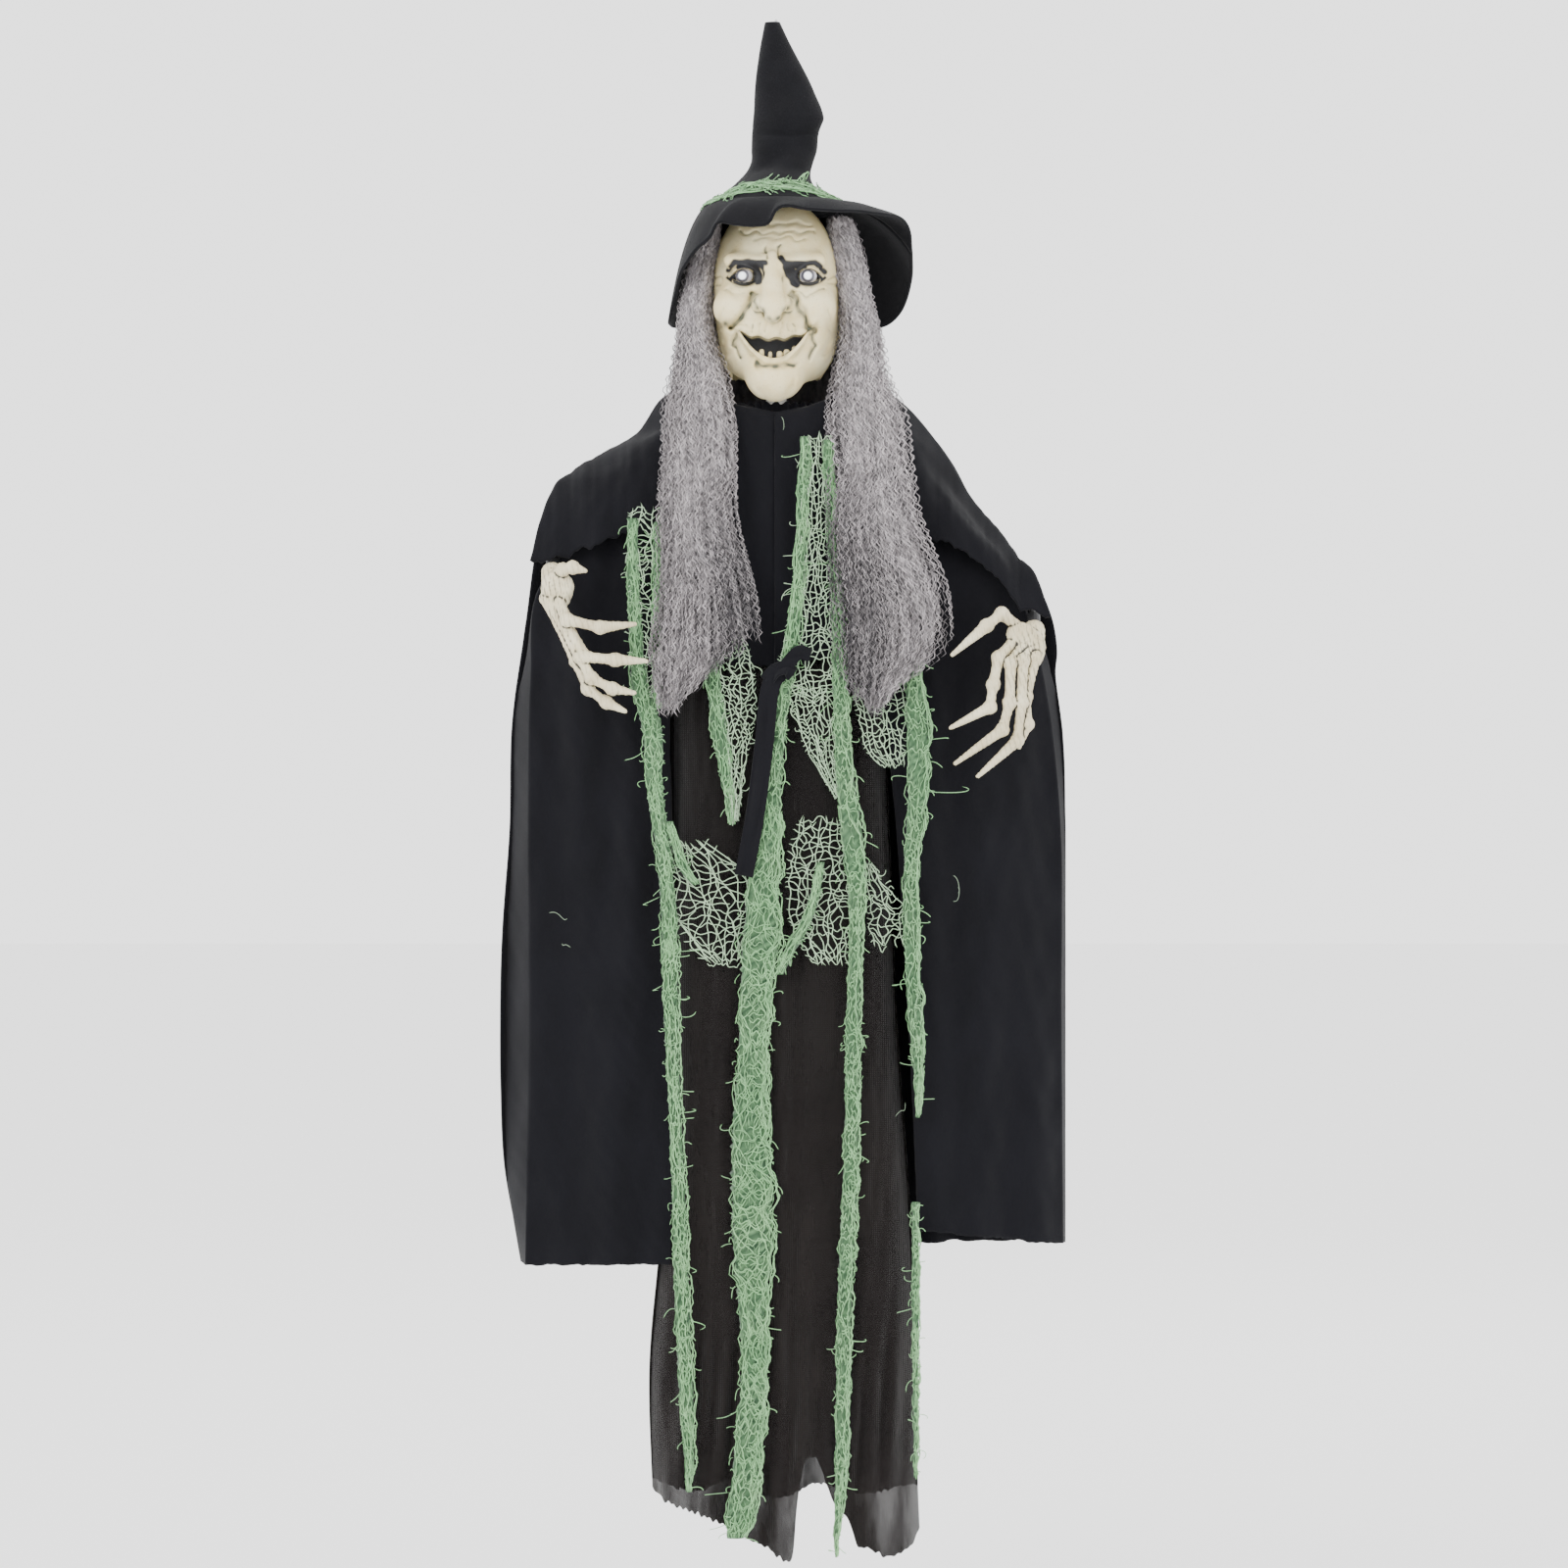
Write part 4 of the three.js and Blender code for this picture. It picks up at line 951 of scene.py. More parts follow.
def crimped(paths, rng):
    """Strands with the short waves of doll's hair."""
    count, steps, _ = paths.shape
    phase = rng.uniform(0, TURN, (count, 1)) + np.cumsum(rng.normal(0, 0.16, (count, steps)), 1)
    turn = TURN * paths[:, :, 2] / (CRIMP_LENGTH * rng.uniform(0.85, 1.2, (count, 1)))
    paths[:, :, 0] += CRIMP_DEPTH * np.sin(turn + phase)
    paths[:, :, 1] += CRIMP_DEPTH * np.cos(turn * 0.9 + phase)
    return paths


def make_lock(side, seed, depth_low, depth_high):
    """One layer of a lock: crimped strands in clumps, between two shares of the lock's depth."""
    rng = np.random.default_rng(seed)
    count = LAYER_STRANDS
    s = steps_along(STRAND_STEPS)
    top = LOCK_TOP - rng.uniform(0, 6, (count, 1))
    clump = rng.integers(0, CLUMPS, count)
    middle = rng.uniform(-0.92, 0.92, CLUMPS)[clump][:, None]
    spread = rng.normal(0, 0.42, (count, 1)) * (1.0 - 0.45 * s)
    longest = curve(LOCK_ENDS[side], (middle + spread)[:, -1])
    end = longest + 34 * rng.beta(1.1, 2.4, (count, 1)) - 5 * rng.random((count, 1))
    short = rng.random((count, 1)) < 0.3
    end[short] += rng.uniform(10, 120, short.sum())
    z = top + (end - top) * s
    drift = Ripples(seed + 1, 1.2, 90)(clump[:, None] * 1.7, z) * 0.13
    rooted = (1 - s) ** 2
    across = rng.uniform(-1, 1, (count, 1)) * rooted + (middle + spread) * (1 - rooted) + drift
    across = np.clip(across, -1.25, 1.25)
    shape = curve(LOCKS[side], z)
    deep = depth_low + (depth_high - depth_low) * rng.random((count, 1))
    deep = np.clip(deep + 0.12 * Ripples(seed + 2, 1.0, 60)(clump[:, None] * 2.3, z), 0, 1)
    x = shape[..., 0] + shape[..., 1] * across
    round_back = (1 - np.sqrt(np.clip(1 - 0.8 * across**2, 0, 1))) * shape[..., 3] * 0.8
    y = shape[..., 2] + shape[..., 3] * deep + round_back
    points, faces = tubes(crimped(stacked(x, y, z), rng), STRAND_RADIUS)
    inner = smooth_step(-0.4, 0.6, across * (1 if side == "left" else -1))
    dull = smooth_step(-240, -340, z) * (0.12 + 0.33 * inner)
    # painted shade and highlights of the crimp, varying along each strand
    kink_shade_and_highlights = 0.22 * Ripples(seed + 4, 1.9, 3.6)(clump[:, None] * 1.3 + 2.0 * across, z)
    # random tone for each strand, painted shade where it lies deep in the lock, darker lower down and on the
    # inner side, and the painted crimp
    shade = np.clip(0.8 * rng.beta(1.1, 1.6, (count, 1)) + 0.4 * deep + dull + kink_shade_and_highlights - 0.08, 0, 1)
    attributes = {"shade": thread_shades(shade, (count, STRAND_STEPS))}
    piece = make_mesh(f"hair_{side}_{seed}", points, faces, "hair", attributes=attributes)
    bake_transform(piece)
    return piece


def make_lock_shade_core(side):
    """A dark form painted as the shade inside a lock, where no light gets through."""
    turns, rows = 28, 60
    z = np.linspace(-119, -345, rows)
    shape = curve(LOCKS[side], z)
    shape[:, 1] *= np.sqrt(smooth_step(-350, -262, z))
    a = np.linspace(0, TURN, turns, endpoint=False)
    x = shape[:, 0:1] + 0.80 * shape[:, 1:2] * np.cos(a)
    y = shape[:, 2:3] + shape[:, 3:4] * (0.62 + 0.30 * np.sin(a))
    bump = 0.7 * Ripples(31, 0.5, 20)(a[None, :], z[:, None])
    points = stacked(x + bump * np.cos(a), y + bump * np.sin(a), z[:, None])
    faces = ring_faces(rows, turns)[:, ::-1]
    # painted shade: the form takes the darkest hair colour
    attributes = {"shade": np.ones((rows, turns))}
    piece = make_mesh(f"hair_{side}_core", points, faces, "hair", attributes=attributes)
    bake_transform(piece)
    return piece


def make_hair_back():
    rng = np.random.default_rng(41)
    count, steps = HAIR_BACK_STRANDS, 60
    start = rng.uniform(-5, 185, (count, 1))
    top = HAIR_BACK_TOP - rng.uniform(0, 5, (count, 1))
    z = top - (HAIR_BACK_LENGTH + rng.uniform(-6, 12, (count, 1))) * steps_along(steps)
    a = np.radians(start + 3 * Ripples(42, 60, 70)(start, z))
    rim = curve(HAIR_BACK, z)
    deep = rng.uniform(0, 3.5, (count, 1))
    x = (rim[..., 0] - deep) * np.cos(a)
    y = rim[..., 2] + (rim[..., 1] - deep) * np.sin(a)
    points, faces = tubes(crimped(stacked(x, y, z), rng), HAIR_BACK_RADIUS)
    # painted shade where a strand lies deeper, with random tone
    shade = np.clip(0.1 + 0.15 * deep + 0.3 * rng.random((count, 1)), 0, 1)
    attributes = {"shade": thread_shades(shade, (count, steps))}
    piece = make_mesh("hair_back_strands", points, faces, "hair", attributes=attributes)
    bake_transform(piece)
    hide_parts("hair_back")
    # a dark sheet under the strands, painted as the shade inside the hair
    turns, rows = 48, 40
    z = np.linspace(-114, -255, rows)[:, None]
    a = np.radians(np.linspace(-8, 188, turns))[None, :]
    rim = curve(HAIR_BACK, z)
    inset = 4 - 0.5 * Ripples(43, 0.2, 30)(a, z)
    grid = stacked((rim[..., 0] - inset) * np.cos(a), rim[..., 2] + (rim[..., 1] - inset) * np.sin(a), z)
    points, faces = cloth_sheet(grid, 1.2)
    shade_core = make_mesh("hair_back_shade_core", points, faces, "hair", attributes={"shade": np.full(len(points), 0.8)})
    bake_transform(shade_core)


def make_hair():
    for side, seed in (("left", 51), ("right", 61)):
        pieces = [make_lock_shade_core(side)]
        for layer in range(3):
            pieces.append(make_lock(side, seed + 3 * layer, layer * 0.24, 0.3 + layer * 0.3))
        for piece in pieces:
            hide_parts(f"hair_{side}")


# ---------------------------------------------------------------- hat

CROWN_EDGES = [  # height, left edge, right edge, half depth
    (-0.5, -6.0, 1.4, 4.6), (-11, -8.0, 6.3, 6.0), (-27, -10.6, 14.6, 8.2), (-43, -12.0, 22.6, 10.3),
    (-54, -12.6, 26.6, 12.3), (-57.5, -12.9, 27.2, 12.8), (-61, -13.2, 26.0, 13), (-67, -13.6, 24.3, 13.2),
    (-76, -14.0, 23.4, 13.8), (-84, -14.2, 21.0, 15.5), (-90, -17.0, 19.6, 18.5), (-95, -21.5, 20.2, 25),
    (-100, -27, 23.5, 32), (-105, -33.5, 32.0, 38), (-110, -41.0, 42.0, 43.5),
]
BRIM_EDGE = [  # turn from the right hand side through the back, x, y, z
    (0, 80.6, -4, -137), (12, 80.8, 12, -152), (26, 75.5, 28, -170), (42, 64, 42, -178), (60, 44, 54, -170),
    (90, 2, 64, -160), (120, -34, 56, -166), (148, -57, 38, -177), (168, -63, 18, -180),
    (184, -63.6, 0, -177),
    (198, -60, -16, -166), (212, -56, -30, -152), (226, -48.5, -42, -141.5), (240, -38.5, -50, -132.5),
    (247, -34.5, -53, -125.5), (256, -24, -56, -127.5), (266, -12, -58, -128.3), (272, -4, -59, -126.0),
    (275.5, -1.0, -59, -119.8), (290, 20, -58, -118.2), (306, 41, -52, -118.0), (318, 55, -43, -118.5),
    (330, 66, -33, -118.5), (342, 75, -20, -121), (351, 79.4, -11, -127), (360, 80.6, -4, -137),
]
BRIM_BEND = np.array([0.6, 0.55, 0.16])  # how far out and down the brim is halfway along its curve
FELT = 1.8


def make_crown():
    rows, turns = 110, 97
    z = np.linspace(-0.5, -110, rows)[:, None]
    a = np.linspace(0.25 * TURN, 1.25 * TURN, turns)[None, :]
    edges = curve(CROWN_EDGES, z)
    middle, half = middle_and_half(edges)
    crease = Ripples(71, 1.7, 26)(a, z) * 0.7 * smooth_step(-6, -30, z) * smooth_step(-108, -96, z)
    dent = 2.0 * bell(z + 74, 8) * bell(a - 0.81 * TURN, 0.5)
    fold = 1.2 * bell(z + 64 - 5 * np.sin(a), 2.0) * smooth_step(0.2, -0.6, np.sin(a))
    out = crease * (1 - 0.7 * np.abs(np.cos(a))) - dent - fold
    x = middle + (half + out) * np.cos(a)
    y = (edges[..., 2] + out) * np.sin(a)
    points, faces = cloth_sheet(stacked(x, y, z), FELT)
    piece = make_mesh("hat_crown_felt", points, faces, "felt", "head")
    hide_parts("hat_crown")


def make_brim():
    """From the foot of the crown in a curve, at first flat and then drooping, to the brim's edge."""
    rows, turns = 40, 241
    s = steps_down(rows)
    turn = np.linspace(0, 360, turns)[None, :]
    angle = np.radians(turn)
    edge = curve(BRIM_EDGE, turn)
    base = stacked(0.75 + 41.6 * np.cos(angle), 43 * np.sin(angle), -109.5)
    middle = base + (edge - base) * BRIM_BEND
    t = s[..., None]
    grid = (1 - t) ** 2 * base + 2 * t * (1 - t) * middle + t**2 * edge
    wave = Ripples(72, 40, 1.5)(turn, s) * 1.6 * s * (1 - 0.5 * s)
    grid = grid + wave[..., None] * np.array([0, 0.4, 1.0])
    points, faces = cloth_sheet(grid, FELT)
    piece = make_mesh("hat_brim_felt", points, faces, "felt", "head")
    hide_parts("hat_brim")


BAND_Z = -101.0
BAND_WIDTH = 6.4
BAND_ROUNDS, BAND_THREADS = 13, 240
BAND_CURLS = [(12, -99, 5, 5.5), (15, -97, 4, 4.5), (-26, -103, -5, -6), (22, -103, 16, -7)]  # x, z, reach


def band_path(a, across, out, wander):
    """A path round the crown: at a share across the band's width, out from the felt."""
    side_drop = np.where(np.cos(a) < 0, 8.5, 4.5)  # the band hangs lower at the sides, lowest on the left
    z = BAND_Z - side_drop * np.abs(np.cos(a)) ** 2.6 + (across - 0.5) * BAND_WIDTH + wander
    ring = curve(CROWN_EDGES, np.minimum(z, -90.0))
    middle, half = middle_and_half(ring)
    return stacked(middle + (half + out) * np.cos(a), (ring[:, 2] + out) * np.sin(a), z)


def make_band():
    """A twisted strip of the green net round the foot of the crown, with a loop and loose ends."""
    rng = np.random.default_rng(73)
    a = np.linspace(0, TURN, 300)
    parts, shades = [], []

    def add(path, radius, shade):
        parts.append(tubes(path[None], radius))
        shades.append(np.full(len(parts[-1][0]), shade))

    for i in range(BAND_ROUNDS):
        t = i / (BAND_ROUNDS - 1)
        out = 2.2 + 1.2 * np.sin(5 * a + 7 * t) + 0.8 * np.sin(17 * a + 20 * t)
        add(band_path(a, t, out, Ripples(80 + i, 1.3, 1)(a, 0)), 0.5, 0.5 * rng.random())
    steps = 9
    for _ in range(BAND_THREADS):
        b = rng.uniform(0, TURN) + np.linspace(0, rng.uniform(0.05, 0.22), steps)
        t = rng.uniform(0, 1) + np.linspace(0, rng.uniform(-1, 1), steps)
        wander = rng.normal(0, 0.3, steps)
        out = 2.0 + rng.uniform(0, 2.6, steps)
        add(band_path(b, t, out, wander), 0.34, 0.6 * rng.random())
    s = np.linspace(0, 1, 26)
    for i, (x0, z0, dx, dz) in enumerate(BAND_CURLS):
        z = z0 + dz * np.sin(2.9 * s) - 2 * s
        add(stacked(x0 + dx * np.sin(2.6 * s), -34 - 2 * np.sin(3 * s + i), z), 0.42, 0.1)
    points, faces = joined(parts)
    attributes = {"shade": np.concatenate(shades)}
    piece = make_mesh("hat_band_net", points, faces, "green_net", "head", attributes=attributes)
    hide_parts("hat_band")


# ---------------------------------------------------------------- cloth garments

CLOTH = 0.9  # modelled thickness
CAPE_FRONT = {  # share of the way down, x, y, z of the outer edge and of the inner edge
    "left": {
        "outer": [
            (0.0, -44, 4, -222), (0.05, -64, 3, -223), (0.10, -83, 2, -250), (0.16, -110, 0, -264),
            (0.21, -127, -4, -274),
            (0.245, -132, -10, -290), (0.28, -131, -20, -308), (0.31, -134, -22, -326),
            (0.34, -142, -14, -342),
            (0.42, -145, -17, -392), (0.55, -146, -20, -470), (0.75, -145, -20, -592), (1.0, -148, -20, -739),
        ],
        "inner": [
            (0.0, -10, -22, -232), (0.10, -16, -27, -262), (0.21, -36, -27, -300), (0.31, -52, -27, -340),
            (0.42, -62, -27, -392), (0.55, -62, -26, -470), (0.75, -60, -26, -592), (1.0, -62, -26, -738),
        ],
    },
    "right": {
        "outer": [
            (0.0, 46, 4, -222), (0.05, 67.5, 3, -223), (0.10, 99, 2, -255), (0.16, 117, 0, -286),
            (0.21, 130, -4, -306),
            (0.245, 143, -8, -320), (0.28, 149, -18, -334), (0.31, 147, -22, -350), (0.34, 152, -20, -366),
            (0.42, 160, -12, -400), (0.55, 168, -10, -470), (0.75, 169, -12, -592), (1.0, 170, -14, -727),
        ],
        "inner": [
            (0.0, 12, -22, -232), (0.10, 18, -27, -262), (0.21, 38, -27, -300), (0.31, 54, -27, -340),
            (0.42, 62, -27, -392), (0.55, 70, -26, -470), (0.75, 78, -26, -592), (1.0, 84, -26, -718),
        ],
    },
}
CAPE_SIDE_Y = 6.0  # where the front panels meet the back one
CAPE_BACK_Y = 42  # of the middle of the back panel
CAPE_TEAR = 0.4
BOX_OPENING = {"half": 33.5, "heights": (-372, -266)}
CAPE_BACK_EDGES = [  # share of the way down, left x, left z, right x, right z
    (0.0, -40, -223, 42, -223), (0.04, -66, -226, 67, -226), (0.08, -85, -247.5, 96, -254),
    (0.13, -116, -264.5, 117, -288),
    (0.17, -131, -277, 131, -308), (0.21, -141, -299, 153, -331), (0.25, -145, -325, 163, -351),
    (0.30, -148.5, -352, 167.5, -374), (0.34, -152.5, -380, 166.5, -388), (0.40, -157, -413, 170.5, -422),
    (0.52, -159, -484, 172.5, -480), (0.62, -163, -540, 172.5, -530), (0.78, -164, -630, 172.5, -622),
    (0.88, -162, -681, 172.5, -676), (1.0, -152, -740, 172.5, -728),
]


def lay_between(outer, inner, rows, columns, bow):
    """A grid of points between two edges given as [share, x, y, z] rows; bow rounds it near the outer edge."""
    v = np.linspace(0, 1, rows)
    a, b = curve(outer, v)[:, None, :], curve(inner, v)[:, None, :]
    u = steps_along(columns)
    grid = a + (b - a) * u[..., None]
    rounded = 1 - (1 - u) ** bow
    grid[..., 1] = a[..., 1] + (b[..., 1] - a[..., 1]) * rounded
    return grid


def hung_folds(grid, seed, depth, width, length=520.0):
    """Folds that run down the cloth and deepen towards the hem, with small creases over them."""
    x, z = grid[..., 0], grid[..., 2]
    v = steps_down(len(grid))
    long_folds = Ripples(seed, width, length)(x, z)
    creases = Ripples(seed + 1, width * 0.45, 60)(x, z)
    fine = Ripples(seed + 2, 14, 17)(x, z)
    grid[..., 1] -= depth * (0.15 + 0.85 * v) * long_folds + 0.16 * depth * creases + 0.22 * fine
    return grid


def ragged(grid, seed, depth):
    """The last rows moved up and down, as along a torn edge."""
    x = grid[..., 0]
    tear = Ripples(seed, 21, 1)(x, 0) + 0.5 * Ripples(seed + 1, 6, 1)(x, 0)
    grid[..., 2] += depth * tear * steps_down(len(grid)) ** 3
    return grid


def wrapped_side(grid, side):
    """The panel with extra columns that take its outer edge round to the back panel, below the hand."""
    x_column, z_column = (1, 2) if side == "left" else (3, 4)
    table = np.array(CAPE_BACK_EDGES)[::-1]
    edge = grid[:, 0]
    reach = 0.05 + 0.95 * smooth_step(-345, -420, edge[:, 2])
    back_x = np.interp(edge[:, 2], table[:, z_column], table[:, x_column])
    wrapped = edge.copy()
    wrapped[:, 0] += (back_x - edge[:, 0]) * reach
    wrapped[:, 1] += (CAPE_SIDE_Y - edge[:, 1]) * reach
    u = steps_along(15)[:, :-1, None]
    extra = wrapped[:, None] + (edge - wrapped)[:, None] * u
    return np.concatenate([extra, grid], 1)


def make_cape_front(side, seed):
    table = CAPE_FRONT[side]
    grid = lay_between(table["outer"], table["inner"], 190, 84, 2.6)
    grid = wrapped_side(grid, side)
    grid = hung_folds(grid, seed, 3.2, 46)
    grid = ragged(grid, seed + 5, CAPE_TEAR)
    if side == "right":
        grid = grid[:, ::-1]
    points, faces = cloth_sheet(grid, CLOTH)
    piece = make_mesh(f"cape_panel_{side}", points, faces, "black_cloth")
    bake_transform(piece)
    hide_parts(f"cape_{side}")


def make_cape_back():
    """The back panel, smooth round the opening that the motor box looks out of."""
    rows, columns = 230, 170
    v = steps_down(rows)
    u = steps_along(columns)
    edges = curve(CAPE_BACK_EDGES, v)
    x = between(edges[..., [0, 2]], u)
    z = between(edges[..., [1, 3]], u) - 4 * np.sin(np.pi * u) * (1 - v)
    across = np.abs(2 * u - 1)
    y = CAPE_BACK_Y - (40 - 4 * v) * across ** (2.6 + 5 * v)
    grid = stacked(x, y, z)
    near_box = smooth_step(75, 55, np.abs(x)) * smooth_step(-430, -385, z)
    folded = hung_folds(grid.copy(), 95, 5.0, 50)
    grid = folded + (grid - folded) * near_box[..., None]
    grid = ragged(grid, 99, CAPE_TEAR)
    centre = (grid[:-1, :-1] + grid[1:, 1:]) / 2
    bottom, top = BOX_OPENING["heights"]
    hole = (np.abs(centre[..., 0]) < BOX_OPENING["half"]) & (centre[..., 2] < top) & (centre[..., 2] > bottom)
    points, faces = cloth_sheet(grid[:, ::-1], CLOTH, ~hole[:, ::-1])
    piece = make_mesh("cape_back_panel", points, faces, "black_cloth", "figure")
    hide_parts("cape_back")


YOKE = {
    "left": {
        "outer": [(0.0, -40, 2, -227), (0.2, -65, 1, -222.5), (0.42, -84.5, 0, -246.5),
                  (0.56, -102.5, -2, -256.5),
                  (0.68, -118.5, -6, -266.5), (0.80, -131.5, -15, -277.5), (0.92, -140, -30, -300),
                  (1.0, -145, -38, -323)],
        "inner": [(0.0, 1, -30, -235), (0.25, 1, -33, -244), (0.5, 1, -34, -266), (0.75, 1, -34, -320),
                  (1.0, 1, -34, -386)],
        "hem": [(-144, -323), (-120, -319), (-104, -312), (-88, -306), (-72, -312), (-56, -342),
                (-36, -376), (1, -386)],
    },
    "right": {
        "outer": [(0.0, 42, 2, -227), (0.2, 68, 1, -222.5), (0.42, 98, 0, -253), (0.62, 117, -3, -284),
                  (0.78, 138, -14, -310), (0.9, 154, -30, -332), (1.0, 162, -38, -354)],
        "inner": [(0.0, -1, -30, -235), (0.25, -1, -33, -244), (0.5, -1, -34, -266),
                  (0.75, -1, -34, -320), (1.0, -1, -34, -386)],
        "hem": [(162, -356), (148, -352), (134, -338), (118, -322), (100, -312), (84, -311), (66, -330),
                (40, -372), (-1, -386)],
    },
}


def make_yoke(side, seed):
    """Half of the short layer over the shoulders."""
    rows, columns = 110, 90
    table = YOKE[side]
    grid = lay_between(table["outer"], table["inner"], rows, columns, 3.4)
    last = grid[-1].copy()
    hem = curve(table["hem"], last[:, 0])[:, 0]
    grid[..., 2] += (hem - last[:, 2]) * steps_down(rows) ** 1.5
    grid = hung_folds(grid, seed, 1.3, 34, 160)
    grid = ragged(grid, seed + 5, 2.0)
    if side == "right":
        overlap = 1.5
        grid = grid[:, ::-1]
        grid[..., 1] -= overlap
    points, faces = cloth_sheet(grid, CLOTH)
    piece = make_mesh(f"yoke_{side}", points, faces, "black_cloth")
    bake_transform(piece)
    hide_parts("capelet_front")


def make_collar():
    """Gathered cloth round the neck."""
    rows, turns, gathers = 46, 181, 23
    a = np.linspace(0.25 * TURN, 1.25 * TURN, turns)[None, :]
    v = steps_down(rows)
    z = -228.5 - 33 * v + 0.9 * np.sin(gathers * a) * (1 - v)
    radius = 20.5 + 9.0 * v**1.6
    gather = 1.1 * np.sin(gathers * a + 0.8 * np.sin(3 * a)) + 0.8 * Ripples(111, 0.8, 40)(a, z)
    gather = gather * (0.6 + 0.8 * v)
    x = (radius * 1.05 + gather) * np.cos(a)
    y = (radius * 0.95 + gather) * np.sin(a) - 1.5
    points, faces = cloth_sheet(stacked(x, y, z)[::-1], CLOTH)
    piece = make_mesh("collar_cloth", points, faces, "black_cloth", "figure")
    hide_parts("neck_collar")


SHEER_CLOTH = 0.7
DRESS_TEAR = 0.8
DRESS_HEM_Z = -890.0  # the height at which the hem's width is taken
DRESS_EDGES = [  # height, left edge, right edge
    (-303, -50, 50), (-376, -60, 62), (-480, -62, 67), (-600, -64, 72), (-700, -66, 79), (-739, -70, 81),
    (-796, -75, 83),
    (-873, -73.5, 84), (-915, -72, 86),
]
DRESS_HEM = [  # x, height
    (-76, -870), (-70, -875), (-58, -880), (-40, -886), (-26, -893), (-14.5, -899.5), (-4, -905),
    (5, -911.5), (8.5, -909),
    (12, -884), (15.5, -862), (18.5, -853), (23, -850.5), (26.5, -854), (31, -868), (36, -880),
    (43, -888), (46, -899),
    (54, -904), (66, -909.5), (74, -907), (81, -902.5), (86, -894),
]
DRESS_BACK_HEM = [(-76, -866), (-50, -878), (-25, -872), (0, -883), (25, -874), (50, -880), (86, -870)]


def dress_grid(hem, top, rows, columns):
    """x, z, and the shares across and down, of a panel between the dress's edges and above its hem."""
    v = steps_down(rows)
    u = steps_along(columns)
    hem_x = between(curve(DRESS_EDGES, np.full(columns, DRESS_HEM_Z)), u[0])
    z = top + (curve(hem, hem_x)[:, 0] - top) * v
    return between(curve(DRESS_EDGES, z), u), z, u, v


def dress_folds(x, z, v, seed, width, depth, fine):
    """Long folds that deepen downwards, and small creases."""
    return Ripples(seed, width, 700)(x, z) * depth * (0.3 + 0.7 * v) + Ripples(seed + 1, 9, 45)(x, z) * fine


def make_dress_front():
    """Hangs behind the shoulder cloth, comes forward below it, and goes round the sides lower down."""
    x, z, u, v = dress_grid(DRESS_HEM, -303, 260, 230)
    side = np.abs(2 * u - 1)
    y = -31.0 - 7 * smooth_step(-378, -398, z) + 35 * side**9 * smooth_step(-370, -420, z)
    folds = dress_folds(x, z, v, 121, 24, 1.8, 0.45)
    gathered = np.sin(x * 0.75 + Ripples(123, 60, 300)(x, z)) * smooth_step(-440, -400, z)
    hem_waves = 1.6 * smooth_step(-745, -800, z) * Ripples(124, 17, 130)(x, z)
    y = y - (folds + gathered) * (1 - 0.5 * side) - hem_waves
    z = z + DRESS_TEAR * Ripples(125, 5, 1)(x, 0) * v**6
    points, faces = cloth_sheet(stacked(x, y, z), SHEER_CLOTH)
    front = make_mesh("dress_front_cloth", points, faces, "sheer_cloth", "figure")
    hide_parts("dress_front")


def make_dress_back():
    x, z, u, v = dress_grid(DRESS_BACK_HEM, -376, 200, 120)
    y = 21.0 - 31 * np.abs(2 * u - 1) ** 7 + dress_folds(x, z, v, 126, 28, 3.0, 0.5)
    z = z + DRESS_TEAR * Ripples(128, 5, 1)(x, 0) * v**6
    points, faces = cloth_sheet(stacked(x, y, z)[:, ::-1], SHEER_CLOTH)
    back = make_mesh("dress_back_cloth", points, faces, "sheer_cloth", "figure")
    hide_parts("dress_back")


# ---------------------------------------------------------------- torn net

THREAD = 0.34  # radius
MESH_PITCH = 3.9
NET_FRONT = -45.5
THREAD_STEP = 2.2
CROSS_STEP = 1.7
ROPE_DEPTH = 2.8


def ends_of(rows):
    """The top and bottom of a strip."""
    return max(row[0] for row in rows), min(row[0] for row in rows)


def frayed_ends(rows, seed, per_mm, front):
    """Short ends that stick out of the edges of a strip."""
    rng = np.random.default_rng(seed)
    top, bottom = ends_of(rows)
    count = int((top - bottom) * per_mm)
    height = rng.uniform(bottom, top, (count, 1))
    edge = curve(rows, height)
    way = rng.choice([-1, 1], (count, 1))
    start = np.where(way < 0, edge[..., 0], edge[..., 1])
    s = steps_along(10)
    reach = rng.gamma(2.2, 1.7, (count, 1))
    bend = rng.uniform(0.8, 2.9, (count, 1))
    x = start - 1.5 * way + way * (1.5 * s + reach * np.sin(bend * s))
    z = height - rng.uniform(-2.5, 7, (count, 1)) * s + rng.uniform(-1.5, 1.5, (count, 1)) * np.sin(4 * s)
    y = front + rng.uniform(-1.5, 1, (count, 1)) + np.sin(3 * s + rng.uniform(0, 6, (count, 1)))
    paths = stacked(x, y, z)
    return tubes(paths, THREAD * 0.72), thread_shades(0.0, paths.shape[:2])


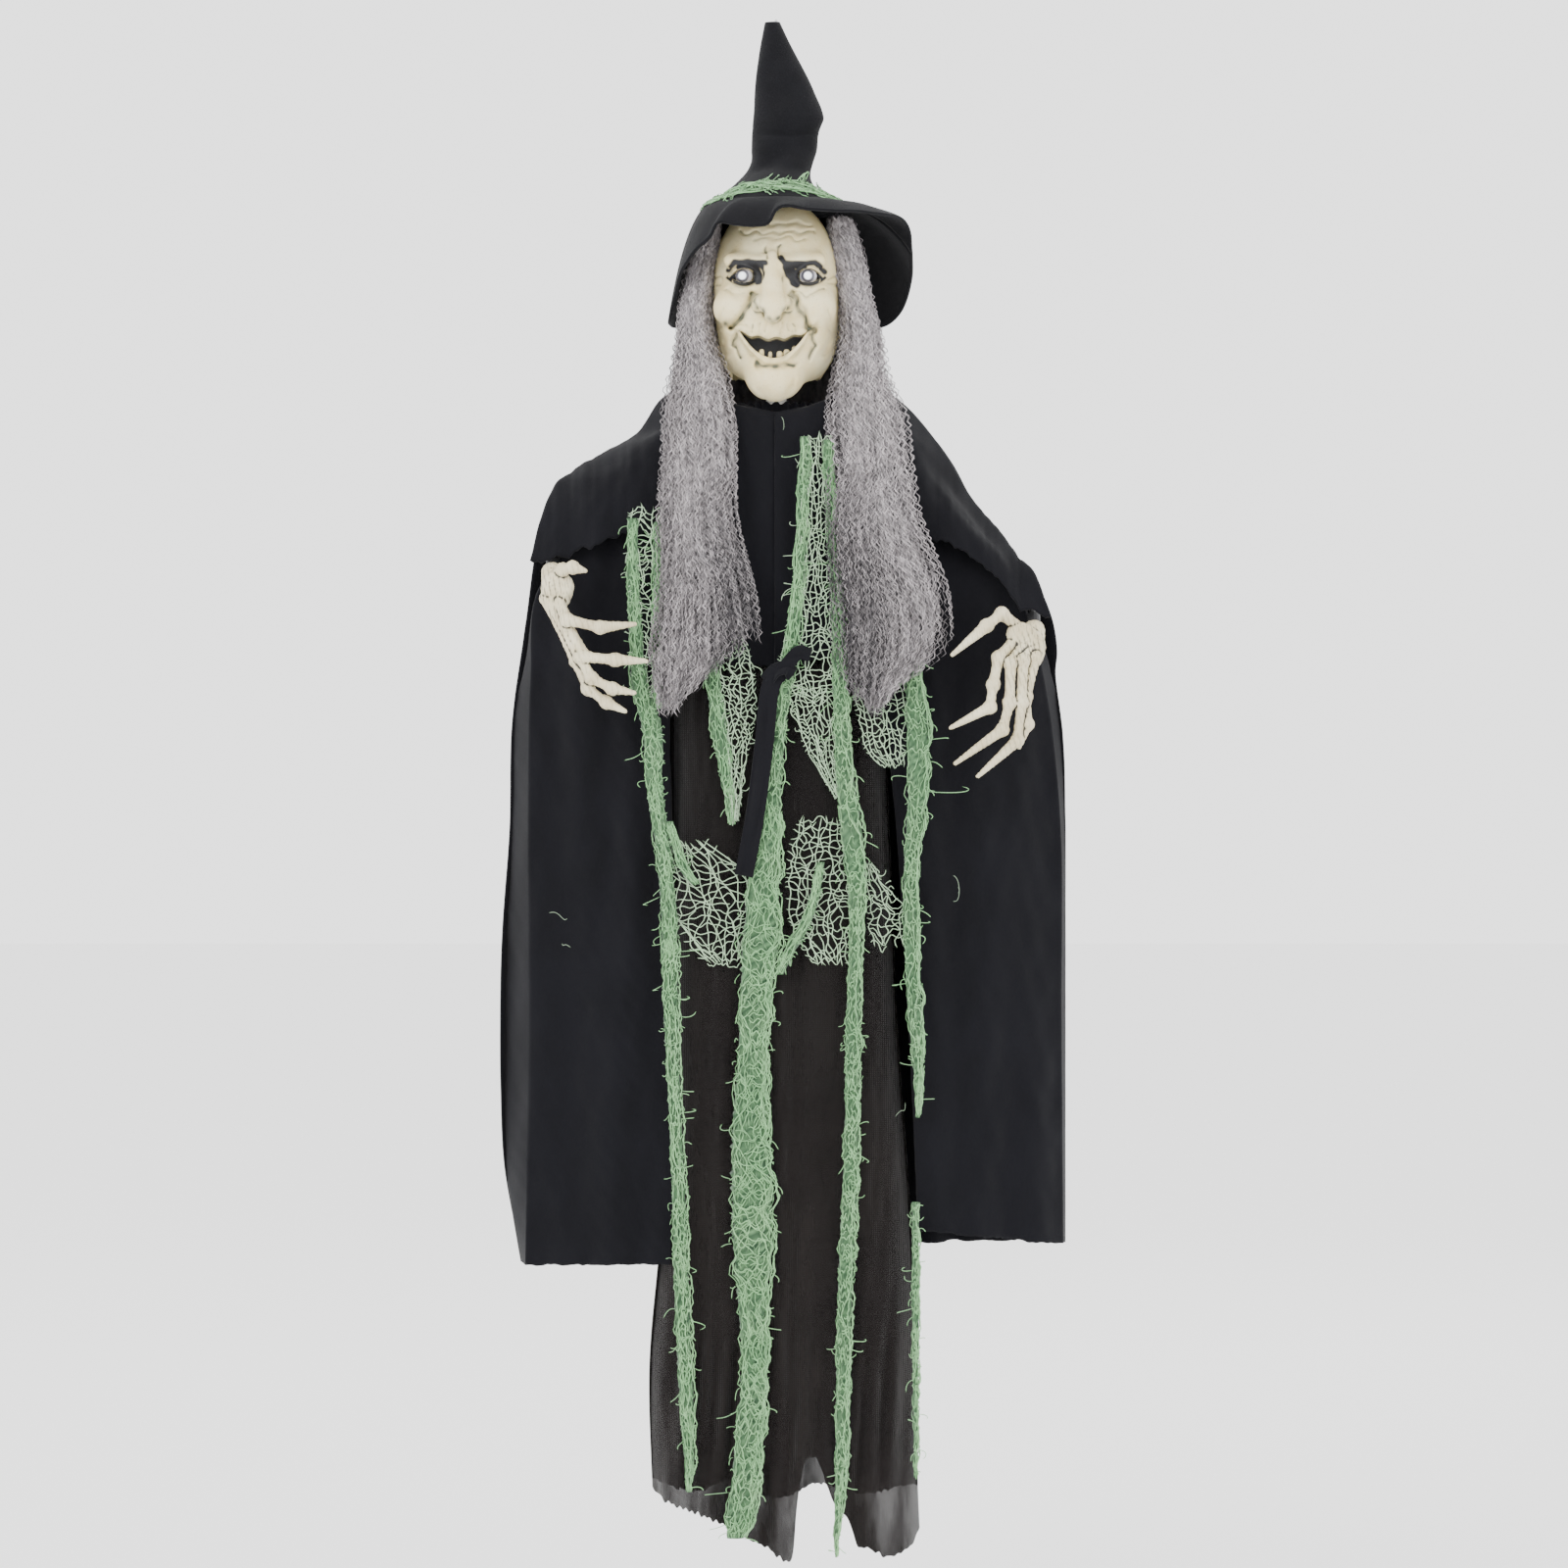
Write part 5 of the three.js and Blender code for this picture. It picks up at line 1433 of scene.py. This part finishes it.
def rope_threads(rows, rng, seed, front, density, z):
    """The crowd of crinkled threads that run down a rope."""
    middle, half = middle_and_half(curve(rows, z))
    middle = middle + 0.5 * Ripples(seed + 1, 1, 24)(0, z)
    half = half * (1 + 0.10 * Ripples(seed + 2, 1, 17)(0, z))
    deep = np.minimum(0.55 * half, ROPE_DEPTH)
    count = int(2 * half.mean() * density)
    thread = np.arange(count)[:, None]
    t = rng.uniform(-1, 1, (count, 1)) + 0.30 * Ripples(seed + 3, 0.9, 42)(thread, z)
    t = np.sin(0.25 * TURN * np.clip(t, -1.3, 1.3))
    lay = rng.uniform(0.72, 1.08, (count, 1))
    crinkle = Ripples(seed + 4, 1.3, 6.5)(thread, z)
    other = Ripples(seed + 5, 1.3, 5.5)(thread, z)
    x = middle + half * t * lay + 0.55 * crinkle
    y = front - deep * np.sqrt(np.clip(1 - t * t, 0, 1)) * lay + 0.5 * other
    shade = np.clip(0.15 + 0.35 * other + 2.2 * (1.0 - lay), 0, 0.9)
    return tubes(stacked(x, y, z), THREAD), thread_shades(shade, x.shape)


def rope_crossings(rows, rng, seed, front):
    """Threads that lie across a rope."""
    top, bottom = ends_of(rows)
    count = int((top - bottom) / CROSS_STEP)
    height = rng.uniform(bottom + 2, top - 2, (count, 1))
    begin = rng.uniform(-1, 0.4, (count, 1))
    u = np.clip(begin + steps_along(12) * rng.uniform(0.4, 1.6, (count, 1)), -1.06, 1.06)
    middle, half = middle_and_half(curve(rows, height))
    bow = Ripples(seed + 6, 0.7, 9)(u, height)
    deep = np.minimum(0.55 * half, ROPE_DEPTH) * np.sqrt(np.clip(1 - u * u, 0, 1)) * 1.06
    z = height + 1.7 * bow + rng.uniform(-3, 3, (count, 1)) * u
    paths = stacked(middle + half * u, front - deep + 0.3 * bow, z)
    shade = 0.05 + 0.3 * rng.random((count, 1))
    return tubes(paths, THREAD * 0.9), thread_shades(shade, u.shape)


def rope_shade_core(rows, seed, front, z):
    """A dark form painted as the shade inside a rope, where no light gets through."""
    turns = 14
    a = np.linspace(0, TURN, turns, endpoint=False)[None, :]
    z = z.T
    middle, half = middle_and_half(curve(rows, z))
    half = 0.80 * half
    rough = 1 + 0.12 * Ripples(seed + 7, 1.5, 5)(a, z)
    y = front - np.minimum(0.4 * half, 2) * rough * np.sin(a)
    points = stacked(middle + half * rough * np.cos(a), y, z)
    shade = np.clip(0.85 + 0.2 * Ripples(seed + 8, 1.2, 4)(a, z), 0, 1)
    return (points.reshape(-1, 3), ring_faces(len(z), turns)), shade.ravel()


def net_strand(rows, seed, front=NET_FRONT, density=1.35):
    """A strip of net drawn together into a rope."""
    rng = np.random.default_rng(seed)
    top, bottom = ends_of(rows)
    z = np.linspace(top, bottom, int((top - bottom) / THREAD_STEP))[None, :]
    return [
        rope_threads(rows, rng, seed, front, density, z),
        rope_crossings(rows, rng, seed, front),
        rope_shade_core(rows, seed, front, z),
        frayed_ends(rows, seed + 9, 0.12, front),
    ]


def net_mesh(rows, seed, front=NET_FRONT, pitch=MESH_PITCH):
    """A stretch of open net, its threads a pitch apart where it lies flat and closer where it is narrow."""
    rng = np.random.default_rng(seed)
    top, bottom = ends_of(rows)
    warps = max(4, int(max(row[2] - row[1] for row in rows) / pitch))
    z = np.linspace(top, bottom, max(10, int((top - bottom) / THREAD_STEP)))[None, :]
    t = (np.arange(warps)[:, None] + 0.5) / warps
    share = t + 0.05 * Ripples(seed + 1, 0.5, 40)(t, z) + 0.35 / warps * Ripples(seed + 2, 0.2, 13)(t, z)
    x = between(curve(rows, z), np.clip(share, -0.02, 1.02))
    relief = Ripples(seed + 3, 0.4, 24)
    slack = 1.5 * Ripples(seed + 4, 0.5, 30)(t, z)
    down = stacked(x, front + relief(share, z), z + slack)
    heights = np.arange(top - 1, bottom, -pitch)[:, None]
    count = len(heights)
    heights = heights + rng.normal(0, 0.35, (count, 1))
    torn_share = 0.12
    torn = rng.random((count, 1)) < torn_share
    u = np.linspace(-0.02, 1.02, 3 * warps)[None, :]
    u = np.where(torn, u * rng.uniform(0.3, 0.8, (count, 1)), u)
    sag = 2.0 * Ripples(seed + 5, 0.7, 26)(u, heights) + 0.8 * Ripples(seed + 6, 0.22, 9)(u, heights)
    sag = sag - 1.5 * (1 - (2 * u - 1) ** 2)
    over = stacked(between(curve(rows, heights), u), front + relief(u, heights), heights + sag)
    return [
        (tubes(down, THREAD), thread_shades(0.0, down.shape[:2])),
        (tubes(over, THREAD * 0.9), thread_shades(0.05, over.shape[:2])),
        frayed_ends(rows, seed + 7, 0.1, front),
    ]


# Each strip is [height, left edge, right edge]. A strand is bunched into a rope, a mesh hangs open.
STRANDS = {
    "net_left": [
        dict(rows=[(-298, -88, -81), (-330, -88, -80), (-370, -87, -78), (-398, -85.5, -74),
                   (-420, -80.5, -66.5), (-455, -77, -66),
                   (-503, -70.5, -60), (-535, -68.5, -57.5), (-560, -68, -57)], seed=201),
        dict(rows=[(-545, -68, -57), (-590, -67, -56.5), (-620, -65, -56), (-655, -63.5, -54.5),
                   (-693, -62, -52.5),
                   (-757, -60.5, -50), (-822, -57, -47.5), (-850, -54.5, -47.5),
                   (-870, -52.5, -50)], seed=211),
        dict(rows=[(-300, -72, -65), (-340, -73, -65), (-380, -73, -66), (-410, -73, -67)], seed=215),
        dict(rows=[(-352, -45, -38), (-380, -43, -34), (-410, -40, -30), (-432, -37, -27),
                   (-450, -33, -25), (-478, -28, -24)],
             seed=221, density=1.3),
        dict(rows=[(-476, -66, -60), (-490, -62, -56), (-505, -57, -50),
                   (-513, -50, -45)], seed=225, density=1.5),
    ],
    "net_centre": [
        dict(rows=[(-250, 14, 20), (-290, 12, 19.5), (-320, 10, 18), (-350, 7.5, 16), (-378, 3, 13),
                   (-400, -3, 9), (-440, -6, 5),
                   (-484, -12, 3)], seed=301, density=1.3),
        dict(rows=[(-252, 27, 33), (-300, 29, 36), (-352, 32, 41), (-400, 32.5, 43), (-440, 34, 45),
                   (-484, 37, 52), (-520, 41.5, 53),
                   (-551, 42, 51), (-600, 40, 50), (-650, 39.5, 49.5), (-692, 38, 48.5), (-745, 35.5, 46),
                   (-809, 34.5, 43.5),
                   (-861, 34, 42), (-890, 34, 38), (-908, 34.5, 36)], seed=311, front=-47.0),
        dict(rows=[(-470, -12, 4), (-512, -18, 3), (-551, -22, 2.5), (-590, -23, -3), (-630, -25.5, -4),
                   (-667, -28, -3),
                   (-700, -28, -0.5), (-731, -27, -1), (-770, -23, -4.5), (-809, -22.5, -4.5),
                   (-840, -26, -7), (-868, -28, -9),
                   (-885, -31, -12), (-897, -30, -18)], seed=321, density=1.45, front=-46.0),
        dict(rows=[(-500, 24, 29), (-520, 19, 26), (-538, 12, 20), (-552, 4, 12),
                   (-566, -3, 5)], seed=325, density=1.5),
    ],
    "net_right": [
        dict(rows=[(-380, 76, 86), (-400, 75, 88), (-430, 76, 91), (-465, 76, 89), (-484, 75, 86),
                   (-535, 74, 84), (-560, 75, 85),
                   (-590, 77, 86.5), (-620, 80, 87), (-650, 82, 84)], seed=401),
        dict(rows=[(-700, 79.5, 84), (-752, 79.5, 84.5), (-800, 80, 84), (-830, 80.5, 84),
                   (-862, 81, 83)], seed=411, front=-40.0),
    ],
}
MESHES = {
    "net_left": [
        dict(rows=[(-291, -87, -66), (-330, -87, -66), (-370, -86, -66),
                   (-404, -84, -68)], seed=241, pitch=3.6),
        dict(rows=[(-355, -36, -26), (-380, -34, -14), (-402, -32, -12), (-420, -30, -13),
                   (-440, -29, -17), (-462, -28, -20),
                   (-476, -26, -22)], seed=251, front=-46.5, pitch=3.2),
        dict(rows=[(-488, -60, -42), (-500, -62, -24), (-512, -62, -14), (-526, -60, -12),
                   (-540, -58, -14), (-552, -50, -18),
                   (-560, -40, -22)], seed=261, front=-42.5),
    ],
    "net_centre": [
        dict(rows=[(-249, 15, 33), (-300, 14, 35), (-340, 10, 36), (-372, 4, 38), (-392, 0, 38),
                   (-404, 4, 38)], seed=351, pitch=3.4),
        dict(rows=[(-396, 6, 36), (-410, 8, 36), (-424, 14, 36), (-438, 20, 36),
                   (-462, 34, 39)], seed=361, front=-44.0, pitch=3.2),
        dict(rows=[(-474, 14, 42), (-490, 8, 44), (-505, 6, 45), (-520, 6, 44), (-534, 8, 43),
                   (-548, 14, 42), (-560, 22, 42)],
             seed=371, front=-42.5),
    ],
    "net_right": [
        dict(rows=[(-394, 44, 75), (-410, 46, 76), (-424, 50, 76), (-436, 54, 76),
                   (-444, 62, 76)], seed=421, front=-43.5, pitch=3.3),
        dict(rows=[(-500, 52, 56), (-514, 52, 66), (-526, 53, 75), (-538, 54, 76),
                   (-550, 56, 76)], seed=431, front=-42.5),
    ],
}
STRAYS = [  # start x and z, end x and z, sideways bow, of threads caught on the cloth
    (-134, -530, -123, -534, 2), (-126, -548, -121, -550, -1), (104, -508, 107, -519, 2),
    (107, -515, 104, -524, 2),
    (3, -238, 4, -246, 1), (70, -650, 76, -642, 2),
]
STRAY_Y = -38.5
PALE_MESH, PALE_STRAY = 0.65, 0.8


def stray_threads():
    s = steps_along(14)
    x0, z0, x1, z1, bow = np.array(STRAYS, float).T[:, :, None]
    x = x0 + (x1 - x0) * s + bow * np.sin(np.pi * s)
    z = z0 + (z1 - z0) * s + 0.6 * bow * np.sin(1.1 * TURN * s)
    return tubes(stacked(x, STRAY_Y, z), THREAD * 0.45), thread_shades(0.35, x.shape)


def make_nets():
    for node in STRANDS:
        made = [(part, 0.0) for strip in STRANDS[node] for part in net_strand(**strip)]
        made += [(part, PALE_MESH) for strip in MESHES[node] for part in net_mesh(**strip)]
        if node == "net_centre":
            made.append((stray_threads(), PALE_STRAY))
        points, faces = joined([threads for (threads, _), _ in made])
        attributes = {
            "shade": np.concatenate([shade for (_, shade), _ in made]),
            "pale": np.concatenate([np.full(len(shade), pale) for (_, shade), pale in made]),
        }
        piece = make_mesh(f"{node}_threads", points, faces, "green_net", "figure", attributes=attributes)
        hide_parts(node)


# ---------------------------------------------------------------- sash


SASH = [  # points of a strip, its width, its seed, how far it leans
    ([(2, -52, -386), (-4, -52, -400), (-7, -51.5, -430), (-12, -51.5, -470),
      (-19, -51, -508)], 11.0, 501, 0.0),
    ([(1, -52.5, -392), (8, -53.5, -382), (14, -53, -377), (20, -51, -379)], 8.0, 502, 0.0),
    ([(-6, -51, -394), (-1, -53, -388), (6, -54, -386), (10, -52, -390)], 9.0, 503, 0.6),
]


def ribbon(centres, width, seed, lean):
    """A flat ribbon along [x, y, z] points, its width lying in the front view."""
    at = np.linspace(0, 1, 70)
    line = curve(np.column_stack([np.linspace(0, 1, len(centres)), centres]), at)
    along = unit(np.gradient(line, axis=0))
    across = unit(np.cross(along, np.array([0.0, -1.0, lean])))
    u = np.linspace(-0.5, 0.5, 15)[None, :, None]
    grid = line[:, None, :] + across[:, None, :] * u * width
    grid[..., 1] += 0.7 * Ripples(seed, 9, 60)(u[..., 0] * width, at[:, None] * 100)
    return cloth_sheet(grid, CLOTH)


def make_sash():
    """The long end, the short end and the loop between them."""
    points, faces = joined([ribbon(*strip) for strip in SASH])
    piece = make_mesh("sash_ribbon", points, faces, "black_cloth", "figure")
    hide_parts("sash")


# ---------------------------------------------------------------- the figure


make_camera()
make_looks()
make_stage()
dress_cad_nodes()
make_face()
make_eyes()
make_hand("left")
make_hand("right")
make_hair()
make_hair_back()
make_crown()
make_brim()
make_band()
make_cape_front("left", 91)
make_cape_front("right", 101)
make_cape_back()
make_yoke("left", 131)
make_yoke("right", 141)
make_collar()
make_dress_front()
make_dress_back()
make_nets()
make_sash()
